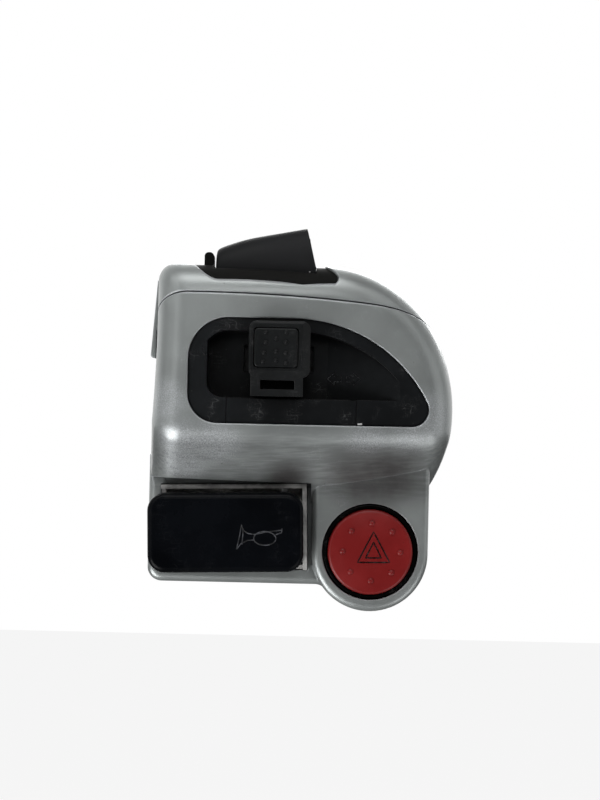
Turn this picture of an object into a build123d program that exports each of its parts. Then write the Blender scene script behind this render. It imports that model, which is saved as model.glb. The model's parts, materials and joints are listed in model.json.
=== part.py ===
"""Left handlebar switch cluster of a scooter, in millimetres.

The origin is on the axis of the handlebar tube, +X to the rider's right, +Y forwards, away from
the rider, and +Z up. The rider looks at the -Y side: the indicator slider in its black panel, the
horn key at the lower left, the hazard button at the lower right and the dip lever on top.
A name ending in depth, front, back or face is a distance from the handlebar axis towards the
rider, one ending in drop a distance below that axis.
"""

import os
from math import asin, atan2, cos, degrees, radians, sin, tan

from build123d import *

os.makedirs("parts", exist_ok=True)

# Handlebar and shared clearances
bar_radius = 11.1
barrel_wall = 1.6
saddle_wall = 2.6
saddle_left_end = -23.0
saddle_right_start = 21.0
wall = 2.2
seam_gap = 0.3
fit_gap = 0.15
run_gap = 0.3
pin_gap = 0.05
overrun = 5.0
half_share = 0.5

# Upper block of the casing
front_depth = 27.0
back_reach = 18.0
top_height = 24.4
left_reach = 31.5
left_mid_set = 1.4
left_top_set = 2.1
left_mid_drop = 8.0
right_reach = 31.5
crest_x = -20.0
face_radius = 250.0
start_angle = -8.0
sweep_angle = 28.0
flank_radius = 32.7
flank_height = -5.0
shoulder_radius = 25.8
corner_radius = 3.8
edge_radius = 6.5
bend_drop = 10.5
bend_radius = 7.0
crease_drop = 21.0
crease_setback = 8.5
block_drop = 24.0
seam_rise = 18.3
back_round = 12.0
back_slope_drop = 12.0
lintel_drop = 21.0
edge_band = 0.5

# Lower block of the casing: horn tray and hazard boss
tray_depth = 14.5
boss_depth = 17.6
lower_reach = 8.0
lower_left_set = 0.5
tray_drop = 41.3
lower_top_drop = 15.0
tray_corner = 3.0
boss_x = 15.1
boss_drop = 34.3
boss_radius = 12.0
lip_round = 1.4
boss_blend = 3.0

# Ear of the upper housing that laps over the left end of the front housing
ear_low_height = 5.0
ear_high_height = 21.0
ear_low_rise = -0.4
ear_high_rise = -1.6
ear_relief = 0.25
ear_root_set = 3.1
ear_front = 16.0
ear_length = 18.0
ear_round = 1.3

# Clamp screws through the parting plane
screw_radius = 2.0
screw_head_radius = 3.4
screw_head_height = 2.4
screw_socket_radius = 1.5
screw_socket_depth = 1.6
screw_pad_radius = 4.6
screw_boss_radius = 3.4
screw_offset = 17.0
screw_seat = 4.4
screw_bite = 8.5
screw_boss_length = 9.5
screw_left_x = -20.0
screw_right_x = 15.0

# Indicator panel
window_left = 22.6
window_top = 13.3
window_drop = 8.0
window_turn_x = -1.0
window_arc_radius = 30.3
window_left_radius = 8.2
window_low_radius = 6.0
window_tip_radius = 3.5
panel_sink = 0.4
panel_back_set = 8.0
panel_flange = 1.2
panel_flange_back_set = 5.0
panel_rim = 2.6
panel_left = 18.8
panel_corner = 3.0
panel_bar_drop = 2.8
panel_floor_set = 6.2
panel_flat_x = 5.5
panel_ramp_x = 21.5
panel_ramp_depth_set = 3.4
strip_left = 14.8
strip_right = 11.4
strip_back_set = 5.4
strip_gap = 0.1

# Indicator slider
slider_x = -4.5
slider_travel = 3.2
knob_left = 5.9
knob_right = 6.3
knob_top = 12.5
knob_low = 1.4
knob_face_rise = 4.5
knob_heel_rise = 0.3
knob_corner = 1.6
knob_edge_round = 0.6
knob_bevel = 1.5
knob_bevel_set = 1.0
ramp_left = 5.4
ramp_right = 5.0
ramp_top = 2.7
ramp_drop = 2.4
ramp_set = 3.0
knob_body_width = 10.0
knob_body_top = 9.3
knob_body_drop = 2.3
knob_body_back_set = 5.8
knob_slot_left = 3.5
knob_slot_right = 3.3
knob_slot_top = 0.8
knob_slot_drop = 1.0
knob_slot_floor_set = 3.6
cap_left = 4.9
cap_right = 4.0
cap_top = 11.2
cap_low = 3.2
cap_proud = 0.4
cap_thickness = 2.0
cap_corner = 0.8
cap_edge_round = 0.3
cap_pocket_floor_rise = 1.4
cap_post_height = 6.7
cap_post_radius = 1.2
cap_post_back_set = 0.4
cap_well_floor_set = 2.4
cap_well_radius = 2.2
cap_spring_radius = 2.0
cap_spring_wall = 0.6
stem_width = 7.0
stem_low = 3.0
stem_height = 4.6
stem_gap = 0.4
stem_reach = 2.0
carrier_width = 17.0
carrier_low = 0.6
carrier_height = 9.8
carrier_front_set = 8.4
carrier_thickness = 2.2
bridge_thickness = 0.5
bridge_width = 6.0
bridge_height = 2.0
ball_radius = 0.6
detent_spring_length = 3.0
detent_inset = 2.5

# Indicator switch base
base_left = 20.4
base_right = 15.6
base_top = 12.2
base_drop = 7.6
base_front_set = 8.1
base_back_set = 13.5
base_floor_set = 11.8
contact_thickness = 0.4
contact_height = 4.0
contact_width = 2.4
contact_pitch = 4.6
contact_proud = 0.2
contact_tail = 0.5
base_screw_radius = 0.9
base_screw_head = 1.7
base_screw_head_height = 0.7
base_screw_drop = 5.4
base_screw_length = 7.4
base_screw_places = (-17.0, 12.8)

# Dip lever on top
dip_left = 22.2
dip_right = 4.6
dip_tip = 8.2
dip_front_set = 0.6
dip_mid_front_set = 1.2
dip_tip_front_set = 2.2
dip_shoulder_front_set = 6.5
dip_back_set = 17.5
dip_front_round = 5.3
dip_round = 1.0
dip_sink = 0.35
dip_ledge = 20.1
lever_tip = 17.8
lever_left = 17.2
lever_right = 2.5
lever_lean = 10.5
lever_bend_x = -11.3
lever_left_top = 27.4
lever_bend_top = 29.5
lever_right_top = 32.3
lever_foot_height = 23.9
lever_foot_front_set = 5.1
lever_foot_back_set = 14.0
lever_shoulder_front_set = 6.2
lever_crest_front_set = 8.6
lever_crest_back_set = 11.6
lever_crest_fall = 0.5
lever_shoulder_share = 0.45
lever_left_share = 0.8
lever_bend_share = 0.9
lever_round = 1.0
pivot_depth_set = 9.7
pivot_height = 18.2
pivot_radius = 1.2
drum_radius = 5.8
drum_floor_height = 16.6
drum_wall = 1.5
hub_radius = 2.4
dip_cheek = 1.6
dip_floor_height = 15.2
dip_floor_thickness = 1.2
dip_plate = 1.0
dip_seat_gap = 0.06
dip_cheek_front_set = 6.6
dip_cheek_back_set = 16.0
dip_flange_left = 23.3
dip_flange_right = 6.0
dip_flange_front_set = 8.2
dip_flange_back_set = 18.7
wiper_width = 3.0
wiper_length = 6.4
wiper_thickness = 0.4
wiper_x = -7.0
dip_contact_spread = 2.2
dip_contact_width = 1.6
stop_ear_right = 18.25
stop_ear_width = 1.9
stop_ear_height = 26.8
stop_ear_depth = 5.0
stop_ear_round = 0.8
stop_ear_foot = 22.8

# Horn key, drawn in its own slightly turned plane
horn_x = -14.6
horn_drop = 30.35
horn_turn = 1.6
horn_width = 31.8
horn_height = 16.2
horn_face = 22.0
horn_corner = 3.6
horn_round = 1.2
horn_skin = 1.6
horn_skirt_back = 16.8
horn_frame_left = 13.45
horn_frame_right = 16.65
horn_frame_top = 9.6
horn_frame_low = 8.2
horn_frame_front = 16.2
horn_frame_low_front = 14.3
horn_frame_back = 8.0
horn_frame_wall = 0.9
horn_frame_floor = 1.4
horn_pin_radius = 1.0
horn_pin_along = 12.0
horn_pin_depth = 12.6
horn_lug_height = 2.6
horn_lug_inset = 1.1
horn_lug_radius = 2.2
horn_post_side = 3.0
horn_post_along = -6.0
horn_post_back = 12.4
horn_contact_thickness = 0.5
horn_contact_side = 2.6
horn_contact_height = 1.0
horn_spring_along = 0.5
horn_spring_radius = 2.4
horn_spring_wall = 0.7
horn_boss_radius = 1.4
horn_boss_back = 14.6
horn_tail_side = 1.0
horn_tail_length = 3.2
horn_screw_radius = 0.9
horn_screw_head = 1.7
horn_screw_head_height = 1.0
horn_screw_length = 2.6
horn_screw_along = (-1.0, 9.0)
pocket_top_left = 19.3
pocket_top_right = 20.1
pocket_right = 2.7
pocket_back = 6.6
pocket_block_right = 3.9
pocket_block_drop = 18.7
horn_wire_width = 4.4
horn_wire_height = 3.0
horn_wire_along = -5.6

# Hazard button
hazard_x = 15.1
hazard_drop = 33.9
hazard_hole_radius = 9.9
hazard_ring_gap = 0.1
hazard_ring_wall = 0.8
hazard_ring_sink = 0.4
hazard_flange_radius = 10.2
hazard_flange_thickness = 1.4
hazard_face = 19.4
hazard_crown = 0.6
hazard_skin = 1.6
hazard_wall = 1.2
hazard_skirt_back = 12.5
hazard_round = 0.6
hazard_stem_radius = 2.4
hazard_stem_back = 6.0
hazard_disc_front = 8.0
hazard_disc_thickness = 1.5
hazard_body_side = 9.6
hazard_body_back = 1.0
hazard_well_back = 3.0
hazard_spring_radius = 4.4
hazard_spring_wall = 0.8
blade_width = 2.6
blade_thickness = 0.8
blade_length = 3.4
blade_root = 1.0
blade_spread = 3.2

# Rear cover, its screws and the cable outlet
cover_thickness = 2.0
cover_top_drop = 23.6
cover_screw_radius = 1.25
cover_screw_head = 2.2
cover_screw_head_height = 1.2
cover_screw_length = 6.5
cover_boss_radius = 3.0
cover_screw_places = ((-26.0, -27.4), (-26.0, -36.2), (22.1, -26.4))
cover_boss_front = 6.0
cover_rib_x = -23.4
cover_rib_low = 37.0
cover_rib_top = 26.5
cover_cross_length = 2.6
cover_cross_width = 0.6
post_radius = 1.2
post_spread = 3.4
outlet_x = -6.0
outlet_drop = 31.0
outlet_radius = 3.5
grommet_wall = 1.3
grommet_flange = 1.2
grommet_flange_wall = 1.1
grommet_nose = 3.5

# Places worked out from the driving sizes
panel_back = front_depth - panel_back_set
panel_flange_back = front_depth - panel_flange_back_set
panel_floor = front_depth - panel_floor_set
panel_ramp_depth = front_depth - panel_ramp_depth_set
strip_back = front_depth - strip_back_set
knob_heel = front_depth + knob_heel_rise
knob_body_back = front_depth - knob_body_back_set
knob_slot_floor = front_depth - knob_slot_floor_set
cap_pocket_floor = front_depth + cap_pocket_floor_rise
cap_post_back = front_depth - cap_post_back_set
cap_well_floor = front_depth - cap_well_floor_set
carrier_front = front_depth - carrier_front_set
base_front = front_depth - base_front_set
base_back = front_depth - base_back_set
base_floor = front_depth - base_floor_set
dip_front = front_depth - dip_front_set
dip_mid_front = front_depth - dip_mid_front_set
dip_tip_front = front_depth - dip_tip_front_set
dip_shoulder_front = front_depth - dip_shoulder_front_set
dip_back = front_depth - dip_back_set
lever_foot_front = front_depth - lever_foot_front_set
lever_foot_back = front_depth - lever_foot_back_set
lever_shoulder_front = front_depth - lever_shoulder_front_set
lever_crest_front = front_depth - lever_crest_front_set
lever_crest_back = front_depth - lever_crest_back_set
pivot_depth = front_depth - pivot_depth_set
dip_cheek_front = front_depth - dip_cheek_front_set
dip_cheek_back = front_depth - dip_cheek_back_set
dip_flange_front = front_depth - dip_flange_front_set
dip_flange_back = front_depth - dip_flange_back_set
knob_face = front_depth + knob_face_rise
face_axis_y = face_radius - front_depth
seam_angle = atan2(seam_rise, front_depth)
parting = Plane(origin=(0, 0, 0), x_dir=(1, 0, 0), z_dir=(0, sin(seam_angle), cos(seam_angle)))
left_reach_mid = left_reach - left_mid_set
left_reach_top = left_reach - left_top_set
lower_left = left_reach - lower_left_set
ear_low_x = -left_reach - ear_low_rise
ear_high_x = -left_reach - ear_high_rise
ear_root_x = -left_reach + ear_root_set
full_width = left_reach + right_reach + 2 * overrun
left_end = -left_reach - overrun
right_end = right_reach + overrun
horn_angle = radians(horn_turn)
knob_x = slider_x + (knob_right - knob_left) / 2
ramp_face = knob_face - ramp_set
cap_x = slider_x + (cap_right - cap_left) / 2
cap_width = cap_left + cap_right
cap_height = cap_top - cap_low
cap_middle = (cap_top + cap_low) / 2
carrier_back = carrier_front - carrier_thickness
carrier_top = carrier_low + carrier_height
stem_middle = stem_low + stem_height / 2
ring_outer = hazard_hole_radius - hazard_ring_gap
ring_inner = ring_outer - hazard_ring_wall
hazard_cap_radius = ring_inner - run_gap
roof_height = top_height - wall
dip_seat_height = roof_height - dip_seat_gap
cover_front = lower_reach - cover_thickness
screw_places = ((screw_left_x, screw_offset), (screw_right_x, screw_offset))


def hand_over(piece, label):
    """Name a finished piece and write it to its own file."""
    piece.part.label = label
    export_step(piece.part, f"parts/{label}.step")
    print(label, len(piece.solids()), round(piece.part.volume, 1), piece.part.is_valid)


def facing(depth):
    """The plane seen by the rider at a given distance in front of the handlebar axis."""
    return Plane.XZ.offset(depth)


def horn_plane(depth):
    """The turned plane of the horn key at a given distance in front of the handlebar axis."""
    return Plane(
        origin=(horn_x, -depth, -horn_drop),
        x_dir=(cos(horn_angle), 0, sin(horn_angle)),
        z_dir=(0, -1, 0),
    )


def horn_pin_plane(height):
    """The plane square to the hinge pin of the horn key, at a height along the pin."""
    foot = horn_plane(horn_pin_depth).from_local_coords((horn_pin_along, height, 0))
    return Plane(origin=foot, x_dir=(0, -1, 0), z_dir=(-sin(horn_angle), 0, cos(horn_angle)))


def main_form(inset):
    """The upper block of the casing, drawn in on every side by an inset."""
    slant = atan2(crease_setback, crease_drop - bend_drop)
    foot_y = crease_setback + (block_drop - crease_drop) * tan(slant)
    start = radians(start_angle)
    profile_plane = Plane(
        origin=(crest_x, face_axis_y, 0),
        x_dir=(-sin(start), cos(start), 0),
        z_dir=(cos(start), sin(start), 0),
    )
    far_y = back_reach + 2 * overrun + front_depth
    high = top_height + 2 * overrun
    turn = asin((top_height - flank_height - shoulder_radius) / (flank_radius - shoulder_radius))
    flank_x = right_reach - flank_radius
    shoulder_x = flank_x + (flank_radius - shoulder_radius) * cos(turn)
    shoulder_z = top_height - shoulder_radius
    low_turn = asin((block_drop + flank_height) / flank_radius)
    with BuildPart() as form:
        with BuildSketch(profile_plane) as profile:
            with BuildLine():
                Polyline(
                    (-face_radius, high),
                    (-face_radius, -bend_drop),
                    (-face_radius + foot_y, -block_drop),
                    (-face_radius + far_y, -block_drop),
                    (-face_radius + far_y, high),
                    close=True,
                )
            make_face()
            bend = profile.vertices().sort_by(Axis.X)[:2].sort_by(Axis.Y)[0]
            fillet(bend, bend_radius)
            if inset:
                offset(amount=-inset, mode=Mode.REPLACE)
        revolve(axis=Axis((crest_x, face_axis_y, 0), (0, 0, 1)), revolution_arc=sweep_angle)
        with BuildSketch(facing(front_depth + overrun)) as outline:
            with BuildLine():
                flank = CenterArc(
                    (flank_x, flank_height), flank_radius, -degrees(low_turn), degrees(low_turn + turn)
                )
                shoulder = CenterArc(
                    (shoulder_x, shoulder_z), shoulder_radius, degrees(turn), 90 - degrees(turn)
                )
                left_side = ThreePointArc(
                    (-left_reach_top, top_height), (-left_reach_mid, -left_mid_drop), (-left_reach, -block_drop)
                )
                Line(shoulder @ 1, left_side @ 0)
                Line(left_side @ 1, flank @ 0)
            make_face()
            corner = outline.vertices().group_by(Axis.Y)[-1].sort_by(Axis.X)[0]
            fillet(corner, corner_radius)
            if inset:
                offset(amount=-inset, mode=Mode.REPLACE)
        extrude(amount=-(front_depth + back_reach + overrun - inset), mode=Mode.INTERSECT)
        with BuildSketch(Plane.YZ.offset(left_end)) as side:
            with BuildLine():
                Polyline(
                    (-front_depth - overrun, -block_drop),
                    (lower_reach, -block_drop),
                    (lower_reach, -lintel_drop),
                    (back_reach, -back_slope_drop),
                    (back_reach, top_height),
                    (-front_depth - overrun, top_height),
                    close=True,
                )
            make_face()
            fillet(side.vertices().sort_by(Axis.X)[-2:].sort_by(Axis.Y)[-1], back_round)
            if inset:
                offset(amount=-inset, mode=Mode.REPLACE)
        extrude(amount=full_width, mode=Mode.INTERSECT)
        rim = [
            edge
            for edge in form.edges()
            if (edge @ half_share).Y < -front_depth / 2
            and edge.center().Y < -crease_setback - bend_radius
            and (edge.center().Z > 0 or abs((edge @ 0).Z - (edge @ 1).Z) > edge_band)
        ]
        fillet(rim, edge_radius - inset)
    return form.part


def lower_outline(inset):
    """The outline of the lower block: the horn tray with the round hazard boss beside it."""
    with BuildSketch() as outline:
        with Locations(((boss_x - lower_left) / 2, -(tray_drop + lower_top_drop) / 2)):
            Rectangle(boss_x + lower_left, tray_drop - lower_top_drop)
        with Locations((boss_x, -boss_drop)):
            Circle(boss_radius)
        with Locations((boss_x, -(boss_drop + lower_top_drop) / 2)):
            Rectangle(2 * boss_radius, boss_drop - lower_top_drop)
        low = outline.vertices().filter_by(lambda v: abs(v.Y + tray_drop) < fit_gap).sort_by(Axis.X)
        fillet(low[-1], boss_blend)
        corner = outline.vertices().sort_by(Axis.X)[0:2].sort_by(Axis.Y)[0]
        fillet(corner, tray_corner)
        if inset:
            offset(amount=-inset, mode=Mode.REPLACE)
    return outline.sketch


def lower_form(inset, rounding):
    """The lower block of the casing, drawn in by an inset, its front edges rounded."""
    with BuildPart() as form:
        with BuildSketch(facing(-lower_reach + inset)):
            add(lower_outline(inset))
        extrude(amount=tray_depth + lower_reach - 2 * inset)
        fillet(form.faces().sort_by(Axis.Y)[0].edges(), rounding)
        with BuildSketch(facing(-lower_reach + inset)):
            with Locations((boss_x, -boss_drop)):
                Circle(boss_radius - inset)
            with Locations((boss_x, -(boss_drop + lower_top_drop) / 2)):
                Rectangle(2 * (boss_radius - inset), boss_drop - lower_top_drop)
        extrude(amount=boss_depth + lower_reach - 2 * inset)
        fillet(form.faces().sort_by(Axis.Y)[0].edges(), rounding)
    return form.part


def cover_form(shrink, thickness):
    """The opening in the back of the lower block, or the cover that fits into it."""
    with BuildPart() as form:
        with BuildSketch(facing(-lower_reach)):
            add(lower_outline(wall + shrink))
            with Locations((0, -cover_top_drop - shrink)):
                Rectangle(full_width, full_width, align=(Align.CENTER, Align.MAX), mode=Mode.INTERSECT)
        extrude(amount=thickness)
    return form.part


def window_form(grow, front, back):
    """The outline of the indicator window, grown on every side, as a block between two depths."""
    low_turn = degrees(asin((window_arc_radius - window_top - window_drop) / window_arc_radius))
    with BuildPart() as form:
        with BuildSketch(facing(back)) as outline:
            with BuildLine():
                sweep = CenterArc(
                    (window_turn_x, window_top - window_arc_radius), window_arc_radius, low_turn, 90 - low_turn
                )
                Polyline(sweep @ 1, (-window_left, window_top), (-window_left, -window_drop), sweep @ 0)
            make_face()
            left = outline.vertices().sort_by(Axis.X)[:2].sort_by(Axis.Y)
            fillet(left[0], window_low_radius)
            fillet(outline.vertices().sort_by_distance(left[1])[0], window_left_radius)
            fillet(outline.vertices().sort_by(Axis.X)[-1], window_tip_radius)
            if grow:
                offset(amount=grow, mode=Mode.REPLACE)
        extrude(amount=front - back)
    return form.part


def dip_form(shrink, low):
    """The plan outline of the dip switch bezel as a column standing on a given height."""
    with BuildPart() as form:
        with BuildSketch(Plane.XY.offset(low)) as outline:
            with BuildLine():
                Polyline(
                    (-dip_left, -dip_back),
                    (dip_right, -dip_back),
                    (dip_right, -dip_shoulder_front),
                    (dip_tip, -dip_tip_front),
                    (0, -dip_mid_front),
                    (-dip_left, -dip_front),
                    close=True,
                )
            make_face()
            fillet(outline.vertices().sort_by(Axis.Y)[0], dip_front_round)
            fillet(outline.vertices().group_by(Axis.Y)[-1], dip_round)
            fillet(outline.vertices().sort_by(Axis.X)[-1], dip_round)
            if shrink:
                offset(amount=-shrink, mode=Mode.REPLACE)
        extrude(amount=top_height + overrun - low)
    return form.part


def rib_form(side):
    """The barrel round the handlebar with its two saddles, on one side of the parting plane."""
    with BuildPart() as form:
        with BuildSketch(Plane.YZ.offset(left_end)):
            Circle(bar_radius + barrel_wall)
        extrude(amount=full_width)
        with BuildSketch(Plane.YZ.offset(left_end)):
            Circle(bar_radius + saddle_wall)
        extrude(amount=saddle_left_end - left_end)
        with BuildSketch(Plane.YZ.offset(saddle_right_start)):
            Circle(bar_radius + saddle_wall)
        extrude(amount=right_end - saddle_right_start)
        add(outer_block, mode=Mode.INTERSECT)
        if side > 0:
            split(bisect_by=parting.offset(seam_gap / 2), keep=Keep.TOP)
        else:
            split(bisect_by=parting.offset(-seam_gap / 2), keep=Keep.BOTTOM)
    return form.part


def clamp_bosses(radius, near, far):
    """The two screw bosses square to the parting plane, kept inside the casing."""
    with BuildPart() as form:
        with BuildSketch(parting.offset(near)):
            with Locations(*screw_places):
                Circle(radius)
        extrude(amount=far - near)
        add(outer_block, mode=Mode.INTERSECT)
    return form.part


def turned_block(front, back, left, right, low, high):
    """A block in the turned frame of the horn key between two depths."""
    with BuildPart() as form:
        with BuildSketch(horn_plane(back)):
            with Locations(((left + right) / 2, (low + high) / 2)):
                Rectangle(right - left, high - low)
        extrude(amount=front - back)
    return form.part


def face_block(front, back, left, right, low, high):
    """A block square to the rider's view between two depths."""
    with BuildPart() as form:
        with BuildSketch(facing(back)):
            with Locations(((left + right) / 2, (low + high) / 2)):
                Rectangle(right - left, high - low)
        extrude(amount=front - back)
    return form.part


def face_rod(radius, x, z, front, back):
    """A round rod along the rider's view between two depths."""
    with BuildPart() as form:
        with BuildSketch(facing(back)):
            with Locations((x, z)):
                Circle(radius)
        extrude(amount=front - back)
    return form.part


# Forms shared by several pieces
outer_block = main_form(0)
inner_block = main_form(wall)
lower_block = lower_form(0, lip_round)
lower_hollow = lower_form(wall, fit_gap)
with BuildPart() as bar_path:
    with BuildSketch(Plane.YZ.offset(left_end)):
        Circle(bar_radius)
    extrude(amount=full_width)

# Pocket round the frame of the horn key, part of the front housing
with BuildPart() as pocket:
    add(
        face_block(
            tray_depth - fit_gap,
            pocket_back,
            -lower_left + wall / 2,
            pocket_block_right,
            -tray_drop + wall / 2,
            -pocket_block_drop,
        )
    )
    add(lower_block, mode=Mode.INTERSECT)

# Front housing: face, bend, horn tray and hazard boss, and the front half of the barrel
with BuildPart() as front_housing:
    add(outer_block)
    split(bisect_by=parting.offset(-seam_gap / 2), keep=Keep.BOTTOM)
    add(lower_block)
    add(inner_block, mode=Mode.SUBTRACT)
    add(lower_hollow, mode=Mode.SUBTRACT)
    add(pocket.part)
    add(cover_form(0, wall), mode=Mode.SUBTRACT)
    add(rib_form(-1))
    add(clamp_bosses(screw_boss_radius, -screw_boss_length, -seam_gap / 2))
    for place_x, place_z in cover_screw_places:
        add(face_rod(cover_boss_radius, place_x, place_z, cover_boss_front, -cover_front))
    add(face_block(pocket_back, cover_boss_front, -lower_left + wall, cover_rib_x, -cover_rib_low, -cover_rib_top))
    add(bar_path.part, mode=Mode.SUBTRACT)
    add(window_form(0, front_depth + overrun, panel_back), mode=Mode.SUBTRACT)
    add(
        turned_block(
            front_depth + overrun,
            horn_frame_back,
            -horn_frame_left - fit_gap,
            horn_frame_right + fit_gap,
            -horn_frame_low - fit_gap,
            horn_frame_top + fit_gap,
        ),
        mode=Mode.SUBTRACT,
    )
    with BuildSketch(facing(tray_depth)):
        with BuildLine():
            Polyline(
                (left_end, -pocket_top_left),
                (pocket_right, -pocket_top_right),
                (pocket_right, -tray_drop - boss_radius),
                (left_end, -tray_drop - boss_radius),
                close=True,
            )
        make_face()
    extrude(amount=front_depth, mode=Mode.SUBTRACT)
    add(
        face_rod(hazard_hole_radius, hazard_x, -hazard_drop, boss_depth + overrun, hazard_skirt_back),
        mode=Mode.SUBTRACT,
    )
    add(
        face_rod(
            hazard_flange_radius + hazard_ring_gap, hazard_x, -hazard_drop, boss_depth - wall, cover_boss_front
        ),
        mode=Mode.SUBTRACT,
    )
    add(
        turned_block(
            horn_frame_back + fit_gap,
            0,
            horn_wire_along - horn_wire_width / 2,
            horn_wire_along + horn_wire_width / 2,
            -horn_wire_height / 2,
            horn_wire_height / 2,
        ),
        mode=Mode.SUBTRACT,
    )
    with BuildSketch(horn_plane(0)):
        with Locations(*[(along, 0) for along in horn_screw_along]):
            Circle(horn_screw_radius)
    extrude(amount=horn_frame_back + fit_gap, mode=Mode.SUBTRACT)
    with BuildSketch(facing(-lower_reach)):
        with Locations(*cover_screw_places):
            Circle(cover_screw_radius)
    extrude(amount=cover_screw_length + cover_screw_head_height, mode=Mode.SUBTRACT)
    with BuildSketch(parting):
        with Locations(*screw_places):
            Circle(screw_radius)
    extrude(amount=-screw_bite, mode=Mode.SUBTRACT)
hand_over(front_housing, "front_housing")

# Ear that hangs from the upper housing over the left end of the front housing
with BuildPart() as ear_clearance:
    with BuildSketch(facing(ear_front + overrun)):
        with BuildLine():
            Polyline(
                (-left_reach_mid - ear_relief, -left_mid_drop),
                (-left_reach_top - ear_relief, top_height),
                (ear_root_x + overrun, top_height),
                (ear_root_x + overrun, -left_mid_drop),
                close=True,
            )
        make_face()
    extrude(amount=-ear_length - 2 * overrun)
    split(bisect_by=parting.offset(seam_gap / 2), keep=Keep.BOTTOM)
with BuildPart() as ear:
    with BuildSketch(facing(ear_front)) as ear_outline:
        with BuildLine():
            Polyline(
                (ear_root_x, ear_low_height),
                (ear_low_x, ear_low_height),
                (ear_high_x, ear_high_height),
                (ear_root_x, ear_high_height),
                close=True,
            )
        make_face()
        fillet(ear_outline.vertices().sort_by(Axis.X)[0], ear_round / 2)
    extrude(amount=-ear_length)
    upright = ear.edges().filter_by(Axis.Z, tolerance=ear_round)
    fillet(upright.sort_by(Axis.Y)[:2].sort_by(Axis.X)[0], ear_round / 2)
    add(ear_clearance.part, mode=Mode.SUBTRACT)

# Upper housing: roof, back and the rear half of the barrel
with BuildPart() as upper_housing:
    add(outer_block)
    split(bisect_by=parting.offset(seam_gap / 2), keep=Keep.TOP)
    add(inner_block, mode=Mode.SUBTRACT)
    add(rib_form(1))
    add(clamp_bosses(screw_pad_radius, seam_gap / 2, screw_seat + 2 * overrun))
    add(ear.part)
    add(dip_form(0, dip_ledge), mode=Mode.SUBTRACT)
    add(bar_path.part, mode=Mode.SUBTRACT)
    with BuildSketch(parting):
        with Locations(*screw_places):
            Circle(screw_radius + fit_gap)
    extrude(amount=screw_seat + overrun, mode=Mode.SUBTRACT)
    with BuildSketch(parting.offset(screw_seat)):
        with Locations(*screw_places):
            Circle(screw_head_radius + fit_gap)
    extrude(amount=back_reach, mode=Mode.SUBTRACT)
hand_over(upper_housing, "upper_housing")

# Socket-head screws that clamp the two housings round the handlebar
with BuildPart() as clamp_screws:
    with BuildSketch(parting.offset(-screw_bite)):
        with Locations(*screw_places):
            Circle(screw_radius)
    extrude(amount=screw_bite + screw_seat)
    with BuildSketch(parting.offset(screw_seat)):
        with Locations(*screw_places):
            Circle(screw_head_radius)
    extrude(amount=screw_head_height)
    with BuildSketch(parting.offset(screw_seat + screw_head_height)):
        with Locations(*screw_places):
            RegularPolygon(screw_socket_radius, 6)
    extrude(amount=-screw_socket_depth, mode=Mode.SUBTRACT)
hand_over(clamp_screws, "clamp_screws")

# Rear cover with its cable outlet and the two posts that hold the hazard switch forward
with BuildPart() as rear_cover:
    add(cover_form(fit_gap, cover_thickness))
    for side in (-1, 1):
        add(face_rod(post_radius, hazard_x + side * post_spread, -hazard_drop, hazard_body_back, -cover_front))
    with BuildSketch(facing(-lower_reach)):
        with Locations(*cover_screw_places):
            Circle(cover_screw_radius + fit_gap)
        with Locations((outlet_x, -outlet_drop)):
            Circle(outlet_radius + grommet_wall)
    extrude(amount=wall, mode=Mode.SUBTRACT)
    with BuildSketch(facing(-lower_reach)):
        with Locations(*cover_screw_places):
            Circle(cover_screw_head + fit_gap)
    extrude(amount=cover_screw_head_height, mode=Mode.SUBTRACT)
hand_over(rear_cover, "rear_cover")

with BuildPart() as rear_cover_screws:
    with BuildSketch(facing(-lower_reach)):
        with Locations(*cover_screw_places):
            Circle(cover_screw_head)
    extrude(amount=cover_screw_head_height)
    with BuildSketch(facing(-lower_reach + cover_screw_head_height)):
        with Locations(*cover_screw_places):
            Circle(cover_screw_radius)
    extrude(amount=cover_screw_length)
    with BuildSketch(facing(-lower_reach)):
        with Locations(*cover_screw_places):
            Rectangle(cover_cross_length, cover_cross_width)
            Rectangle(cover_cross_width, cover_cross_length)
    extrude(amount=cover_screw_head_height / 2, mode=Mode.SUBTRACT)
hand_over(rear_cover_screws, "rear_cover_screws")

# Rubber grommet of the cable outlet
with BuildPart() as cable_grommet:
    add(
        face_rod(
            outlet_radius + grommet_wall, outlet_x, -outlet_drop, grommet_flange - cover_front, -lower_reach - grommet_nose
        )
    )
    for near in (-cover_front, -lower_reach - grommet_flange):
        add(
            face_rod(
                outlet_radius + grommet_wall + grommet_flange_wall, outlet_x, -outlet_drop, near + grommet_flange, near
            )
        )
    add(
        face_rod(outlet_radius, outlet_x, -outlet_drop, 0, -lower_reach - grommet_nose - overrun),
        mode=Mode.SUBTRACT,
    )
hand_over(cable_grommet, "cable_grommet")

# Black panel of the indicator switch with its scooped recess
with BuildPart() as panel_skirt:
    add(inner_block)
    add(window_form(panel_flange, front_depth, panel_flange_back), mode=Mode.INTERSECT)
with BuildPart() as panel_recess:
    add(window_form(-panel_rim, front_depth + overrun, panel_floor))
    with BuildSketch(Plane.XY.offset(-panel_bar_drop)):
        with BuildLine():
            Polyline(
                (-window_left, -front_depth - overrun),
                (right_reach, -front_depth - overrun),
                (right_reach, -panel_ramp_depth),
                (panel_ramp_x, -panel_ramp_depth),
                (panel_flat_x, -panel_floor),
                (-window_left, -panel_floor),
                close=True,
            )
        make_face()
    extrude(amount=window_top + panel_bar_drop, mode=Mode.INTERSECT)
    with BuildSketch(facing(panel_floor)) as recess_outline:
        with Locations((-panel_left, -panel_bar_drop)):
            Rectangle(full_width, full_width, align=(Align.MIN, Align.MIN))
        fillet(recess_outline.vertices().group_by(Axis.X)[0].sort_by(Axis.Y)[0], panel_corner)
    extrude(amount=front_depth, mode=Mode.INTERSECT)
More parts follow.
